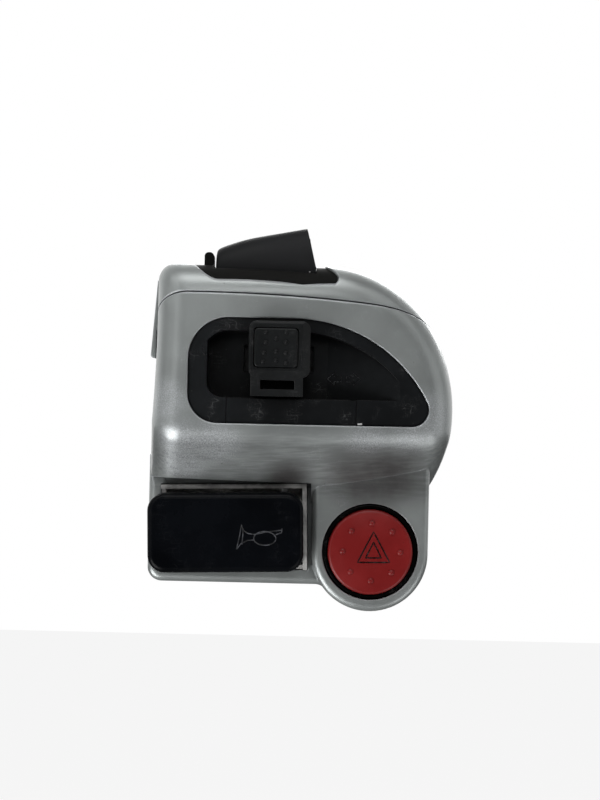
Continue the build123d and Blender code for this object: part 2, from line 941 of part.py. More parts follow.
panel_block = main_form(panel_sink)
with BuildPart() as indicator_bezel:
    add(panel_block)
    add(window_form(-fit_gap, front_depth + overrun, panel_back), mode=Mode.INTERSECT)
    add(panel_skirt.part)
    add(panel_recess.part, mode=Mode.SUBTRACT)
    add(
        face_block(
            front_depth + overrun,
            strip_back,
            -strip_left,
            strip_right,
            -window_drop - overrun,
            -panel_bar_drop,
        ),
        mode=Mode.SUBTRACT,
    )
    add(
        face_block(
            panel_floor + fit_gap,
            panel_back - fit_gap,
            slider_x - stem_width / 2 - slider_travel - stem_gap,
            slider_x + stem_width / 2 + slider_travel + stem_gap,
            stem_low - stem_gap,
            stem_low + stem_height + stem_gap,
        ),
        mode=Mode.SUBTRACT,
    )
    for place_x in base_screw_places:
        add(
            face_rod(base_screw_radius, place_x, -base_screw_drop, base_back + base_screw_length, base_back),
            mode=Mode.SUBTRACT,
        )
hand_over(indicator_bezel, "indicator_bezel")

# Strip that closes the unused switch position under the slider
with BuildPart() as blanking_strip:
    add(panel_block)
    add(window_form(-fit_gap, front_depth + overrun, panel_back), mode=Mode.INTERSECT)
    add(
        face_block(
            front_depth + overrun,
            strip_back,
            -strip_left + strip_gap,
            strip_right - strip_gap,
            -window_drop - overrun,
            -panel_bar_drop - strip_gap,
        ),
        mode=Mode.INTERSECT,
    )
hand_over(blanking_strip, "blanking_strip")


def contact_form(place_x):
    """One fixed contact of the indicator switch: its pad in the floor and its tail behind."""
    with BuildPart() as form:
        add(
            face_block(
                base_floor + contact_proud,
                base_floor + contact_proud - contact_thickness,
                place_x - contact_width / 2,
                place_x + contact_width / 2,
                stem_middle - contact_height / 2,
                stem_middle + contact_height / 2,
            )
        )
        add(
            face_block(
                base_floor,
                base_back - contact_tail,
                place_x - contact_width / 4,
                place_x + contact_width / 4,
                stem_middle - contact_width / 4,
                stem_middle + contact_width / 4,
            )
        )
    return form.part


contact_places = [slider_x + step * contact_pitch for step in (-1, 0, 1)]

# Base of the indicator switch, behind the panel
with BuildPart() as indicator_base:
    add(face_block(base_front, base_back, -base_left, base_right, -base_drop, base_top))
    add(
        face_block(
            base_front + overrun,
            base_floor,
            slider_x - carrier_width / 2 - slider_travel - run_gap,
            slider_x + carrier_width / 2 + slider_travel + run_gap,
            carrier_low - fit_gap,
            carrier_top + fit_gap,
        ),
        mode=Mode.SUBTRACT,
    )
    for place_x in contact_places:
        add(contact_form(place_x), mode=Mode.SUBTRACT)
    with BuildSketch(facing(base_back)):
        with Locations(*[(place_x, -base_screw_drop) for place_x in base_screw_places]):
            Circle(base_screw_radius + pin_gap)
    extrude(amount=base_front - base_back, mode=Mode.SUBTRACT)
    with BuildSketch(facing(base_back)):
        with Locations(*[(place_x, -base_screw_drop) for place_x in base_screw_places]):
            Circle(base_screw_head + pin_gap)
    extrude(amount=base_screw_head_height, mode=Mode.SUBTRACT)
hand_over(indicator_base, "indicator_base")

with BuildPart() as indicator_contacts:
    for place_x in contact_places:
        add(contact_form(place_x))
hand_over(indicator_contacts, "indicator_contacts")

with BuildPart() as indicator_screws:
    with BuildSketch(facing(base_back)):
        with Locations(*[(place_x, -base_screw_drop) for place_x in base_screw_places]):
            Circle(base_screw_head)
    extrude(amount=base_screw_head_height)
    with BuildSketch(facing(base_back + base_screw_head_height)):
        with Locations(*[(place_x, -base_screw_drop) for place_x in base_screw_places]):
            Circle(base_screw_radius)
    extrude(amount=base_screw_length - base_screw_head_height)
hand_over(indicator_screws, "indicator_screws")

# Sliding knob of the indicator switch: its head with the cap, a ramp with a slot below, its body
with BuildPart() as indicator_knob:
    with BuildSketch(facing(knob_heel)):
        with Locations((knob_x, (knob_top + knob_low) / 2)):
            RectangleRounded(knob_left + knob_right, knob_top - knob_low, knob_corner)
    extrude(amount=knob_face - knob_heel)
    fillet(indicator_knob.faces().sort_by(Axis.Y)[0].edges(), knob_edge_round)
    add(
        face_block(
            knob_face - knob_edge_round,
            knob_heel,
            slider_x - ramp_left,
            slider_x + ramp_right,
            -ramp_drop,
            cap_middle,
        )
    )
    with BuildSketch(Plane.YZ.offset(left_end)):
        with BuildLine():
            Polyline(
                (-knob_face, ramp_top),
                (-ramp_face, -ramp_drop),
                (-ramp_face, -ramp_drop - overrun),
                (-knob_face - overrun, -ramp_drop - overrun),
                (-knob_face - overrun, ramp_top),
                close=True,
            )
        make_face()
    extrude(amount=full_width, mode=Mode.SUBTRACT)
    with BuildSketch(Plane.XY.offset(-ramp_drop)):
        with BuildLine():
            Polyline(
                (slider_x + knob_right - knob_bevel, -knob_face),
                (slider_x + knob_right, -knob_face + knob_bevel_set),
                (slider_x + knob_right + overrun, -knob_face + knob_bevel_set),
                (slider_x + knob_right + overrun, -knob_face - overrun),
                (slider_x + knob_right - knob_bevel, -knob_face - overrun),
                close=True,
            )
        make_face()
    extrude(amount=knob_top + ramp_drop + overrun, mode=Mode.SUBTRACT)
    add(
        face_block(
            knob_heel,
            knob_body_back,
            slider_x - knob_body_width / 2,
            slider_x + knob_body_width / 2,
            -knob_body_drop,
            knob_body_top,
        )
    )
    with BuildSketch(facing(cap_pocket_floor)):
        with Locations((cap_x, cap_middle)):
            RectangleRounded(cap_width, cap_height, cap_corner)
    extrude(amount=knob_face - cap_pocket_floor, mode=Mode.SUBTRACT)
    add(
        face_rod(cap_well_radius, cap_x, cap_post_height, cap_pocket_floor + fit_gap, cap_well_floor),
        mode=Mode.SUBTRACT,
    )
    add(
        face_block(
            knob_face,
            knob_slot_floor,
            slider_x - knob_slot_left,
            slider_x + knob_slot_right,
            -knob_slot_drop,
            knob_slot_top,
        ),
        mode=Mode.SUBTRACT,
    )
    add(
        face_block(
            knob_body_back + stem_reach,
            knob_body_back,
            slider_x - stem_width / 2,
            slider_x + stem_width / 2,
            stem_low,
            stem_low + stem_height,
        ),
        mode=Mode.SUBTRACT,
    )
hand_over(indicator_knob, "indicator_knob")

# Carrier that joins the knob to the moving contact and the detent
detent_x = slider_x + carrier_width / 2 - detent_inset
carrier_middle = carrier_front - carrier_thickness / 2
with BuildPart() as indicator_carrier:
    add(
        face_block(
            carrier_front,
            carrier_back,
            slider_x - carrier_width / 2,
            slider_x + carrier_width / 2,
            carrier_low,
            carrier_top,
        )
    )
    add(
        face_block(
            knob_body_back + stem_reach,
            carrier_front,
            slider_x - stem_width / 2,
            slider_x + stem_width / 2,
            stem_low,
            stem_low + stem_height,
        )
    )
    with BuildSketch(Plane.XY.offset(carrier_top)):
        with Locations((detent_x, -carrier_middle)):
            Circle(ball_radius + pin_gap)
    extrude(amount=-detent_spring_length - 2 * ball_radius, mode=Mode.SUBTRACT)
hand_over(indicator_carrier, "indicator_carrier")

with BuildPart() as slider_contact:
    add(
        face_block(
            carrier_back,
            carrier_back - bridge_thickness,
            slider_x - bridge_width / 2,
            slider_x + bridge_width / 2,
            stem_middle - bridge_height / 2,
            stem_middle + bridge_height / 2,
        )
    )
hand_over(slider_contact, "slider_contact")

with BuildPart() as detent_ball:
    with Locations((detent_x, -carrier_middle, carrier_top - ball_radius)):
        Sphere(ball_radius)
hand_over(detent_ball, "detent_ball")

with BuildPart() as detent_spring:
    with BuildSketch(Plane.XY.offset(carrier_top - 2 * ball_radius)):
        with Locations((detent_x, -carrier_middle)):
            Circle(ball_radius)
            Circle(ball_radius / 2, mode=Mode.SUBTRACT)
    extrude(amount=-detent_spring_length)
hand_over(detent_spring, "detent_spring")

# Push cap on the slider that switches the indicators off
cap_underside = knob_face + cap_proud - cap_thickness
with BuildPart() as cancel_cap:
    with BuildSketch(facing(cap_underside)):
        with Locations((cap_x, cap_middle)):
            RectangleRounded(cap_width - 2 * fit_gap, cap_height - 2 * fit_gap, cap_corner)
    extrude(amount=cap_thickness)
    fillet(cancel_cap.faces().sort_by(Axis.Y)[0].edges(), cap_edge_round)
    add(face_rod(cap_post_radius, cap_x, cap_post_height, cap_underside, cap_post_back))
hand_over(cancel_cap, "cancel_cap")

with BuildPart() as cancel_spring:
    add(face_rod(cap_spring_radius, cap_x, cap_post_height, cap_underside, cap_well_floor))
    add(
        face_rod(cap_spring_radius - cap_spring_wall, cap_x, cap_post_height, knob_face, cap_well_floor),
        mode=Mode.SUBTRACT,
    )
hand_over(cancel_spring, "cancel_spring")

# Bezel of the dip switch on the top of the casing, with its stop ear
slot_front = pivot_depth + drum_radius + run_gap
slot_back = pivot_depth - drum_radius - run_gap
with BuildPart() as dip_bezel:
    add(main_form(dip_sink))
    add(dip_form(fit_gap, dip_ledge + fit_gap), mode=Mode.INTERSECT)
    add(inner_block, mode=Mode.SUBTRACT)
    add(
        face_block(
            slot_front, slot_back, -lever_tip - run_gap, lever_right + run_gap, dip_ledge, top_height + overrun
        ),
        mode=Mode.SUBTRACT,
    )
    with BuildSketch(facing(pivot_depth - stop_ear_depth / 2)) as ear_face:
        with Locations((-stop_ear_right - stop_ear_width / 2, stop_ear_foot)):
            Rectangle(stop_ear_width, stop_ear_height - stop_ear_foot, align=(Align.CENTER, Align.MIN))
        fillet(ear_face.vertices().group_by(Axis.Y)[-1], stop_ear_round)
    extrude(amount=stop_ear_depth)
hand_over(dip_bezel, "dip_bezel")

# Base of the dip switch: flange under the roof, two cheeks for the pin and a floor
cheek_left = -lever_left - run_gap - dip_cheek
cheek_right = lever_right + run_gap
floor_low = dip_floor_height - dip_floor_thickness
cheek_top = dip_seat_height - dip_plate


def dip_contact_form(place_x):
    """One fixed contact strip in the floor of the dip switch."""
    return face_block(
        dip_cheek_front - dip_cheek,
        dip_cheek_front - dip_cheek - wiper_length,
        place_x - dip_contact_width / 2,
        place_x + dip_contact_width / 2,
        dip_floor_height + contact_proud - contact_thickness,
        dip_floor_height + contact_proud,
    )


dip_contact_places = (wiper_x - dip_contact_spread / 2, wiper_x + dip_contact_spread / 2)
with BuildPart() as dip_base:
    add(
        face_block(
            dip_flange_front,
            dip_flange_back,
            -dip_flange_left,
            dip_flange_right,
            dip_seat_height - dip_plate,
            dip_seat_height,
        )
    )
    add(
        face_block(
            slot_front, slot_back, -lever_tip - run_gap, lever_right + run_gap, dip_ledge, top_height + overrun
        ),
        mode=Mode.SUBTRACT,
    )
    for near_x in (cheek_left, cheek_right):
        add(face_block(dip_cheek_front, dip_cheek_back, near_x, near_x + dip_cheek, floor_low, cheek_top))
    add(
        face_block(
            dip_cheek_front, dip_cheek_back, cheek_left, cheek_right + dip_cheek, floor_low, dip_floor_height
        )
    )
    with BuildSketch(Plane.YZ.offset(left_end)):
        with Locations((-pivot_depth, pivot_height)):
            Circle(pivot_radius)
    extrude(amount=full_width, mode=Mode.SUBTRACT)
    for place_x in dip_contact_places:
        add(dip_contact_form(place_x), mode=Mode.SUBTRACT)
hand_over(dip_base, "dip_base")

with BuildPart() as dip_contacts:
    for place_x in dip_contact_places:
        add(dip_contact_form(place_x))
hand_over(dip_contacts, "dip_contacts")

with BuildPart() as dip_pivot_pin:
    with BuildSketch(Plane.YZ.offset(cheek_left)):
        with Locations((-pivot_depth, pivot_height)):
            Circle(pivot_radius)
    extrude(amount=cheek_right + dip_cheek - cheek_left)
hand_over(dip_pivot_pin, "dip_pivot_pin")


def lever_section(place_x, top, share):
    """The section of the dip lever square to its length at one place."""
    with BuildSketch(Plane.YZ.offset(place_x)) as section:
        shoulder_height = lever_foot_height + lever_shoulder_share * (top - lever_foot_height)
        with BuildLine():
            Polyline(
                (-pivot_depth + (pivot_depth - lever_foot_front) * share, lever_foot_height),
                (-pivot_depth + (pivot_depth - lever_shoulder_front) * share, shoulder_height),
                (-pivot_depth + (pivot_depth - lever_crest_front) * share, top),
                (-pivot_depth + (pivot_depth - lever_crest_back) * share, top - lever_crest_fall),
                (-pivot_depth + (pivot_depth - lever_foot_back) * share, lever_foot_height),
                close=True,
            )
        make_face()
        fillet(section.vertices().group_by(Axis.Y)[-1], lever_round)
        fillet(section.vertices().sort_by(Axis.Y)[2:4].sort_by(Axis.X)[0], lever_round * 2)
    return section.sketch


# Dip lever: a wedge that widens to the right on a round drum
with BuildPart() as dip_lever:
    loft(
        sections=[
            lever_section(-lever_tip, lever_left_top, lever_left_share),
            lever_section(lever_bend_x, lever_bend_top, lever_bend_share),
            lever_section(lever_right, lever_right_top, 1),
        ],
        ruled=True,
    )
    lean = radians(lever_lean)
    split(
        bisect_by=Plane(origin=(lever_right, 0, lever_foot_height), z_dir=(cos(lean), 0, sin(lean))),
        keep=Keep.BOTTOM,
    )
    with BuildSketch(Plane.YZ.offset(-lever_left)):
        with Locations((-pivot_depth, pivot_height)):
            Circle(drum_radius)
        with Locations((-pivot_depth, drum_floor_height)):
            Rectangle(3 * drum_radius, 2 * drum_radius, align=(Align.CENTER, Align.MAX), mode=Mode.SUBTRACT)
    extrude(amount=lever_left + lever_right)
    with BuildSketch(Plane.YZ.offset(-lever_left + drum_wall)):
        with Locations((-pivot_depth, pivot_height)):
            Circle(drum_radius - drum_wall)
            Circle(hub_radius, mode=Mode.SUBTRACT)
    extrude(amount=lever_left + lever_right - 2 * drum_wall, mode=Mode.SUBTRACT)
    with BuildSketch(Plane.YZ.offset(left_end)):
        with Locations((-pivot_depth, pivot_height)):
            Circle(pivot_radius + pin_gap)
    extrude(amount=full_width, mode=Mode.SUBTRACT)
hand_over(dip_lever, "dip_lever")

with BuildPart() as dip_wiper:
    add(
        face_block(
            pivot_depth + wiper_length / 2,
            pivot_depth - wiper_length / 2,
            wiper_x - wiper_width / 2,
            wiper_x + wiper_width / 2,
            drum_floor_height - wiper_thickness,
            drum_floor_height,
        )
    )
hand_over(dip_wiper, "dip_wiper")

# Frame of the horn key, let into the pocket of the front housing
with BuildPart() as horn_frame:
    add(
        turned_block(
            horn_frame_front, horn_frame_back, -horn_frame_left, horn_frame_right, -horn_frame_low, horn_frame_top
        )
    )
    add(
        turned_block(
            horn_frame_front + overrun,
            horn_frame_back + horn_frame_floor,
            -horn_frame_left + horn_frame_wall,
            horn_frame_right - horn_frame_wall,
            -horn_frame_low + horn_frame_wall,
            horn_frame_top - horn_frame_wall,
        ),
        mode=Mode.SUBTRACT,
    )
    add(
        turned_block(
            horn_frame_front + overrun,
            horn_frame_low_front,
            -horn_frame_left - overrun,
            horn_frame_right - horn_frame_wall,
            -horn_frame_low - overrun,
            horn_frame_top - horn_frame_wall,
        ),
        mode=Mode.SUBTRACT,
    )
    with BuildSketch(horn_pin_plane(-horn_frame_low)):
        Circle(horn_pin_radius)
    extrude(amount=horn_frame_low + horn_frame_top, mode=Mode.SUBTRACT)
    with BuildSketch(horn_plane(horn_frame_back)):
        with Locations(*[(along, 0) for along in horn_screw_along]):
            Circle(horn_screw_radius)
        with Locations((horn_post_along, 0)):
            Rectangle(horn_tail_side, horn_tail_side)
    extrude(amount=horn_frame_floor, mode=Mode.SUBTRACT)
hand_over(horn_frame, "horn_frame")

with BuildPart() as horn_hinge_pin:
    with BuildSketch(horn_pin_plane(-horn_frame_low)):
        Circle(horn_pin_radius)
    extrude(amount=horn_frame_low + horn_frame_top)
hand_over(horn_hinge_pin, "horn_hinge_pin")

with BuildPart() as horn_screws:
    with BuildSketch(horn_plane(pocket_back - horn_screw_head_height)):
        with Locations(*[(along, 0) for along in horn_screw_along]):
            Circle(horn_screw_head)
    extrude(amount=horn_screw_head_height)
    with BuildSketch(horn_plane(pocket_back)):
        with Locations(*[(along, 0) for along in horn_screw_along]):
            Circle(horn_screw_radius)
    extrude(amount=horn_screw_length)
hand_over(horn_screws, "horn_screws")

with BuildPart() as horn_fixed_contact:
    horn_floor = horn_frame_back + horn_frame_floor
    with BuildSketch(horn_plane(horn_floor)):
        with Locations((horn_post_along, 0)):
            Rectangle(horn_contact_side, horn_contact_side)
    extrude(amount=horn_contact_height)
    with BuildSketch(horn_plane(horn_floor)):
        with Locations((horn_post_along, 0)):
            Rectangle(horn_tail_side, horn_tail_side)
    extrude(amount=-horn_tail_length)
hand_over(horn_fixed_contact, "horn_fixed_contact")

# Horn key, hinged on the pin at its right end
horn_underside = horn_face - horn_skin
with BuildPart() as horn_key:
    with BuildSketch(horn_plane(horn_skirt_back)):
        RectangleRounded(horn_width, horn_height, horn_corner)
    extrude(amount=horn_face - horn_skirt_back)
    fillet(horn_key.faces().sort_by(Axis.Y)[0].edges(), horn_round)
    with BuildSketch(horn_plane(horn_skirt_back)):
        RectangleRounded(horn_width - 2 * horn_skin, horn_height - 2 * horn_skin, horn_corner - horn_skin)
    extrude(amount=horn_underside - horn_skirt_back, mode=Mode.SUBTRACT)
    lug_end = horn_height / 2 - horn_lug_inset
    for low in (-lug_end, lug_end - horn_lug_height):
        with BuildSketch(horn_pin_plane(low)):
            Circle(horn_lug_radius)
            Rectangle(
                horn_underside - horn_pin_depth + fit_gap, 2 * horn_lug_radius, align=(Align.MIN, Align.CENTER)
            )
            Circle(horn_pin_radius + pin_gap, mode=Mode.SUBTRACT)
        extrude(amount=horn_lug_height)
    with BuildSketch(horn_plane(horn_post_back)):
        with Locations((horn_post_along, 0)):
            Rectangle(horn_post_side, horn_post_side)
    extrude(amount=horn_underside - horn_post_back)
    with BuildSketch(horn_plane(horn_boss_back)):
        with Locations((horn_spring_along, 0)):
            Circle(horn_boss_radius)
    extrude(amount=horn_underside - horn_boss_back)
hand_over(horn_key, "horn_key")

with BuildPart() as horn_moving_contact:
    with BuildSketch(horn_plane(horn_post_back - horn_contact_thickness)):
        with Locations((horn_post_along, 0)):
            Rectangle(horn_contact_side, horn_contact_side)
    extrude(amount=horn_contact_thickness)
hand_over(horn_moving_contact, "horn_moving_contact")

with BuildPart() as horn_spring:
    with BuildSketch(horn_plane(horn_floor)):
        with Locations((horn_spring_along, 0)):
            Circle(horn_spring_radius)
            Circle(horn_spring_radius - horn_spring_wall, mode=Mode.SUBTRACT)
    extrude(amount=horn_underside - horn_floor)
hand_over(horn_spring, "horn_spring")

# Sleeve round the hazard button, caught behind the wall of the boss
ring_front = boss_depth - hazard_ring_sink
flange_front = boss_depth - wall
with BuildPart() as hazard_sleeve:
    add(face_rod(ring_outer, hazard_x, -hazard_drop, ring_front, hazard_disc_front))
    fillet(hazard_sleeve.edges().sort_by(Axis.Y)[0], hazard_ring_wall / 2)
    add(
        face_rod(
            hazard_flange_radius, hazard_x, -hazard_drop, flange_front, flange_front - hazard_flange_thickness
        )
    )
    add(face_rod(ring_inner, hazard_x, -hazard_drop, ring_front, hazard_disc_front), mode=Mode.SUBTRACT)
hand_over(hazard_sleeve, "hazard_sleeve")


def blade_form(side_x, side_z):
    """One blade terminal of the hazard switch."""
    middle_x = hazard_x + side_x * blade_spread
    middle_z = -hazard_drop + side_z * blade_spread
    return face_block(
        hazard_body_back + blade_root,
        hazard_body_back - blade_length,
        middle_x - blade_width / 2,
        middle_x + blade_width / 2,
        middle_z - blade_thickness / 2,
        middle_z + blade_thickness / 2,
    )


blade_sides = [(side_x, side_z) for side_x in (-1, 1) for side_z in (-1, 1)]
disc_back = hazard_disc_front - hazard_disc_thickness
with BuildPart() as hazard_switch_body:
    add(face_rod(ring_outer, hazard_x, -hazard_drop, hazard_disc_front, disc_back))
    with BuildSketch(facing(hazard_body_back)):
        with Locations((hazard_x, -hazard_drop)):
            Rectangle(hazard_body_side, hazard_body_side)
    extrude(amount=disc_back - hazard_body_back)
    add(
        face_rod(hazard_stem_radius + 2 * pin_gap, hazard_x, -hazard_drop, hazard_disc_front, hazard_well_back),
        mode=Mode.SUBTRACT,
    )
    for side_x, side_z in blade_sides:
        add(blade_form(side_x, side_z), mode=Mode.SUBTRACT)
hand_over(hazard_switch_body, "hazard_switch_body")

with BuildPart() as hazard_terminals:
    for side_x, side_z in blade_sides:
        add(blade_form(side_x, side_z))
hand_over(hazard_terminals, "hazard_terminals")

# Red cap of the hazard button with its plunger and return spring
crown_radius = (hazard_cap_radius**2 + hazard_crown**2) / (2 * hazard_crown)
hazard_underside = hazard_face - hazard_skin
with BuildPart() as hazard_cap:
    add(face_rod(hazard_cap_radius, hazard_x, -hazard_drop, hazard_face + overrun, hazard_skirt_back))
    with Locations((hazard_x, crown_radius - hazard_face, -hazard_drop)):
        Sphere(crown_radius, mode=Mode.INTERSECT)
    fillet(hazard_cap.edges().sort_by(Axis.Y)[0], hazard_round)
    add(
        face_rod(hazard_cap_radius - hazard_wall, hazard_x, -hazard_drop, hazard_underside, hazard_skirt_back),
        mode=Mode.SUBTRACT,
    )
hand_over(hazard_cap, "hazard_cap")

with BuildPart() as hazard_plunger:
    add(face_rod(hazard_stem_radius, hazard_x, -hazard_drop, hazard_underside, hazard_stem_back))
hand_over(hazard_plunger, "hazard_plunger")

with BuildPart() as hazard_spring:
    add(face_rod(hazard_spring_radius, hazard_x, -hazard_drop, hazard_underside, hazard_disc_front))
    add(
        face_rod(
            hazard_spring_radius - hazard_spring_wall, hazard_x, -hazard_drop, hazard_underside, hazard_disc_front
        ),
        mode=Mode.SUBTRACT,
    )
hand_over(hazard_spring, "hazard_spring")
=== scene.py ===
"""Dresses the handlebar switch cluster: finishes, signs, grips, studio and camera.

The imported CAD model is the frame. Everything is in metres, with +X to the rider's right, +Y away
from the rider and +Z up. The camera stands on the rider's side.
"""

import json
import logging
from dataclasses import dataclass, field
from enum import Enum
from math import cos, pi, radians, sin
from typing import Callable, Sequence

import bpy
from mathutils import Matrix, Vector

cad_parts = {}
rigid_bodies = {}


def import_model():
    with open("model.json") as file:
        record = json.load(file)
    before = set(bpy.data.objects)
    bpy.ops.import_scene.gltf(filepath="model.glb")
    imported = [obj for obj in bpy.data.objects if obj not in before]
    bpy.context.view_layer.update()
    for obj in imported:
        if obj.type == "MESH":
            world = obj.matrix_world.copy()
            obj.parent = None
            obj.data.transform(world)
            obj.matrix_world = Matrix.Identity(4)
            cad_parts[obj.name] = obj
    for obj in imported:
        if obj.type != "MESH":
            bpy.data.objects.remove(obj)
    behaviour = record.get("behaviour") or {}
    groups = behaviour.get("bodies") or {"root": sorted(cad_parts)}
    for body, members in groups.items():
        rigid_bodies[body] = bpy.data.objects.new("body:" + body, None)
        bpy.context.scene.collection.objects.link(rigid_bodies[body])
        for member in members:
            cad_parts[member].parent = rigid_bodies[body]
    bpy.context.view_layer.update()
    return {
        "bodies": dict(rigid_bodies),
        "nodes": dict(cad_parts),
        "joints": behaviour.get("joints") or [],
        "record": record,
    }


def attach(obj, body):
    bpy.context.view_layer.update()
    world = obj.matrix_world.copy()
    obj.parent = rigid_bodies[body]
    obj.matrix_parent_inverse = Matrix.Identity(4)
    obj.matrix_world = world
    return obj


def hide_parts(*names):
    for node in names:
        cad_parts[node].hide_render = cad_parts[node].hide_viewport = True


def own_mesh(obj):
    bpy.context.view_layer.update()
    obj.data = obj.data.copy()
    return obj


log = logging.getLogger("switch_cluster")

MM = 0.001
Colour = tuple[float, float, float]
Place = tuple[float, float]
Spot = tuple[float, float, float, float]


class Body(Enum):
    """The moving groups of the frame that new pieces ride on."""

    HOUSING = "housing"
    SLIDER = "slider"
    CANCEL = "cancel"
    DIP = "dip"
    HORN = "horn"
    HAZARD = "hazard"


# Shader node groups


class Graph:
    """A node tree with short calls for adding and joining nodes."""

    def __init__(self, tree: bpy.types.NodeTree) -> None:
        """Keeps the tree.

        Args:
            tree: The node tree of a material, a world or a group.
        """
        self.tree = tree

    def add(self, kind: str, sockets: dict | None = None, **settings: object) -> bpy.types.Node:
        """Adds a node.

        Args:
            kind: The node's type name without the ShaderNode prefix.
            sockets: Values or output sockets, by input name or number.
            **settings: Properties of the node.

        Returns:
            The new node.
        """
        node = self.tree.nodes.new("ShaderNode" + kind)
        for name, value in settings.items():
            setattr(node, name, value)
        for name, value in (sockets or {}).items():
            if isinstance(value, bpy.types.NodeSocket):
                self.tree.links.new(value, node.inputs[name])
            else:
                node.inputs[name].default_value = value
        return node

    def math(self, operation: str, first: object, second: object = 0.0) -> bpy.types.NodeSocket:
        """Joins two numbers.

        Args:
            operation: The Math node's operation.
            first: A number or an output socket.
            second: A number or an output socket.

        Returns:
            The result's socket.
        """
        return self.add("Math", {0: first, 1: second}, operation=operation).outputs[0]

    def band(self, value: object, low: float, high: float) -> bpy.types.NodeSocket:
        """Turns a number into a mask that rises from 0 at low to 1 at high.

        Args:
            value: The output socket to read.
            low: The value at which the mask is 0.
            high: The value at which it is 1.

        Returns:
            The mask's socket.
        """
        node = self.add("MapRange", {"Value": value, "From Min": low, "From Max": high}, interpolation_type="SMOOTHSTEP")
        return node.outputs["Result"]

    def mix(self, share: object, first: object, second: object) -> bpy.types.NodeSocket:
        """Mixes two colours.

        Args:
            share: How much of the second colour shows.
            first: A colour or an output socket.
            second: A colour or an output socket.

        Returns:
            The mixed colour's socket.
        """
        node = self.add("Mix", data_type="RGBA")
        for number, value in ((0, share), (6, first), (7, second)):
            if isinstance(value, bpy.types.NodeSocket):
                self.tree.links.new(value, node.inputs[number])
            elif number:
                node.inputs[number].default_value = (*value, 1.0)
            else:
                node.inputs[number].default_value = value
        return node.outputs[2]

    def place(self, scale: Sequence[float] = (1, 1, 1), turn: Sequence[float] = (0, 0, 0)) -> bpy.types.NodeSocket:
        """Gives the object's own coordinates, stretched and turned.

        Args:
            scale: The stretch along each axis.
            turn: The turn about each axis, in degrees.

        Returns:
            The coordinates' socket.
        """
        here = self.add("TexCoord").outputs["Object"]
        sockets = {"Vector": here, "Scale": scale, "Rotation": [radians(angle) for angle in turn]}
        return self.add("Mapping", sockets).outputs[0]


def effect(name: str, inputs: dict[str, float], outputs: dict[str, str], fill: Callable[..., dict]) -> bpy.types.NodeTree:
    """Builds a shader node group once.

    Args:
        name: The group's name.
        inputs: The number inputs and their default values.
        outputs: The outputs and their socket types.
        fill: Makes the inside from a graph and the group's inputs, and gives a socket per output.

    Returns:
        The group's node tree.
    """
    if name in bpy.data.node_groups:
        return bpy.data.node_groups[name]
    tree = bpy.data.node_groups.new(name, "ShaderNodeTree")
    for label, value in inputs.items():
        tree.interface.new_socket(label, in_out="INPUT", socket_type="NodeSocketFloat").default_value = value
    for label, kind in outputs.items():
        tree.interface.new_socket(label, in_out="OUTPUT", socket_type=kind)
    entry = tree.nodes.new("NodeGroupInput")
    leave = tree.nodes.new("NodeGroupOutput")
    graph = Graph(tree)
    for label, socket in fill(graph, entry.outputs).items():
        tree.links.new(socket, leave.inputs[label])
    return tree


def grain_inside(graph: Graph, given: Sequence[bpy.types.NodeSocket]) -> dict[str, bpy.types.NodeSocket]:
    """Moulded grain: a fine even noise."""
    fine = graph.add("TexNoise", {"Vector": graph.place(), "Scale": given["Scale"], "Detail": 3.0, "Roughness": 0.6})
    return {"Fine": fine.outputs[0]}


def drift_inside(graph: Graph, given: Sequence[bpy.types.NodeSocket]) -> dict[str, bpy.types.NodeSocket]:
    """Slow change of tone over a surface, from handling and age."""
    cloud = graph.add("TexNoise", {"Vector": graph.place(), "Scale": given["Scale"], "Detail": 5.0, "Roughness": 0.62})
    return {"Mask": graph.band(cloud.outputs[0], 0.36, 0.66)}


def scratch_inside(graph: Graph, given: Sequence[bpy.types.NodeSocket]) -> dict[str, bpy.types.NodeSocket]:
    """Hair scratches in two directions, broken up by patches."""
    lines = []
    for stretch, turn in (((1.0, 1.0, 16.0), (0, 34, 12)), ((15.0, 1.0, 1.0), (0, -21, 8)), ((1.0, 18.0, 2.0), (22, 61, 0))):
        noise = graph.add("TexNoise", {"Vector": graph.place(stretch, turn), "Scale": given["Scale"], "Detail": 2.0})
        away = graph.math("ABSOLUTE", graph.math("SUBTRACT", noise.outputs[0], 0.5))
        lines.append(graph.math("SUBTRACT", 1.0, graph.band(away, 0.0, 0.011)))
    patches = graph.add("TexNoise", {"Vector": graph.place(), "Scale": 210.0, "Detail": 3.0})
    where = graph.band(patches.outputs[0], 0.5, 0.68)
    both = graph.math("MAXIMUM", graph.math("MAXIMUM", lines[0], lines[1]), lines[2])
    return {"Mask": graph.math("MULTIPLY", graph.math("MULTIPLY", both, where), given["Amount"])}


def pit_inside(graph: Graph, given: Sequence[bpy.types.NodeSocket]) -> dict[str, bpy.types.NodeSocket]:
    """Small pits and knocks, scattered and of mixed size."""
    cells = graph.add("TexVoronoi", {"Vector": graph.place(), "Scale": given["Scale"], "Randomness": 1.0})
    pick = graph.add("SeparateColor", {0: cells.outputs["Color"]})
    size = graph.math("MULTIPLY", pick.outputs[0], 0.2)
    inside = graph.band(graph.math("SUBTRACT", size, cells.outputs["Distance"]), 0.0, 0.05)
    some = graph.math("GREATER_THAN", pick.outputs[1], graph.math("SUBTRACT", 1.0, given["Amount"]))
    return {"Mask": graph.math("MULTIPLY", inside, some)}


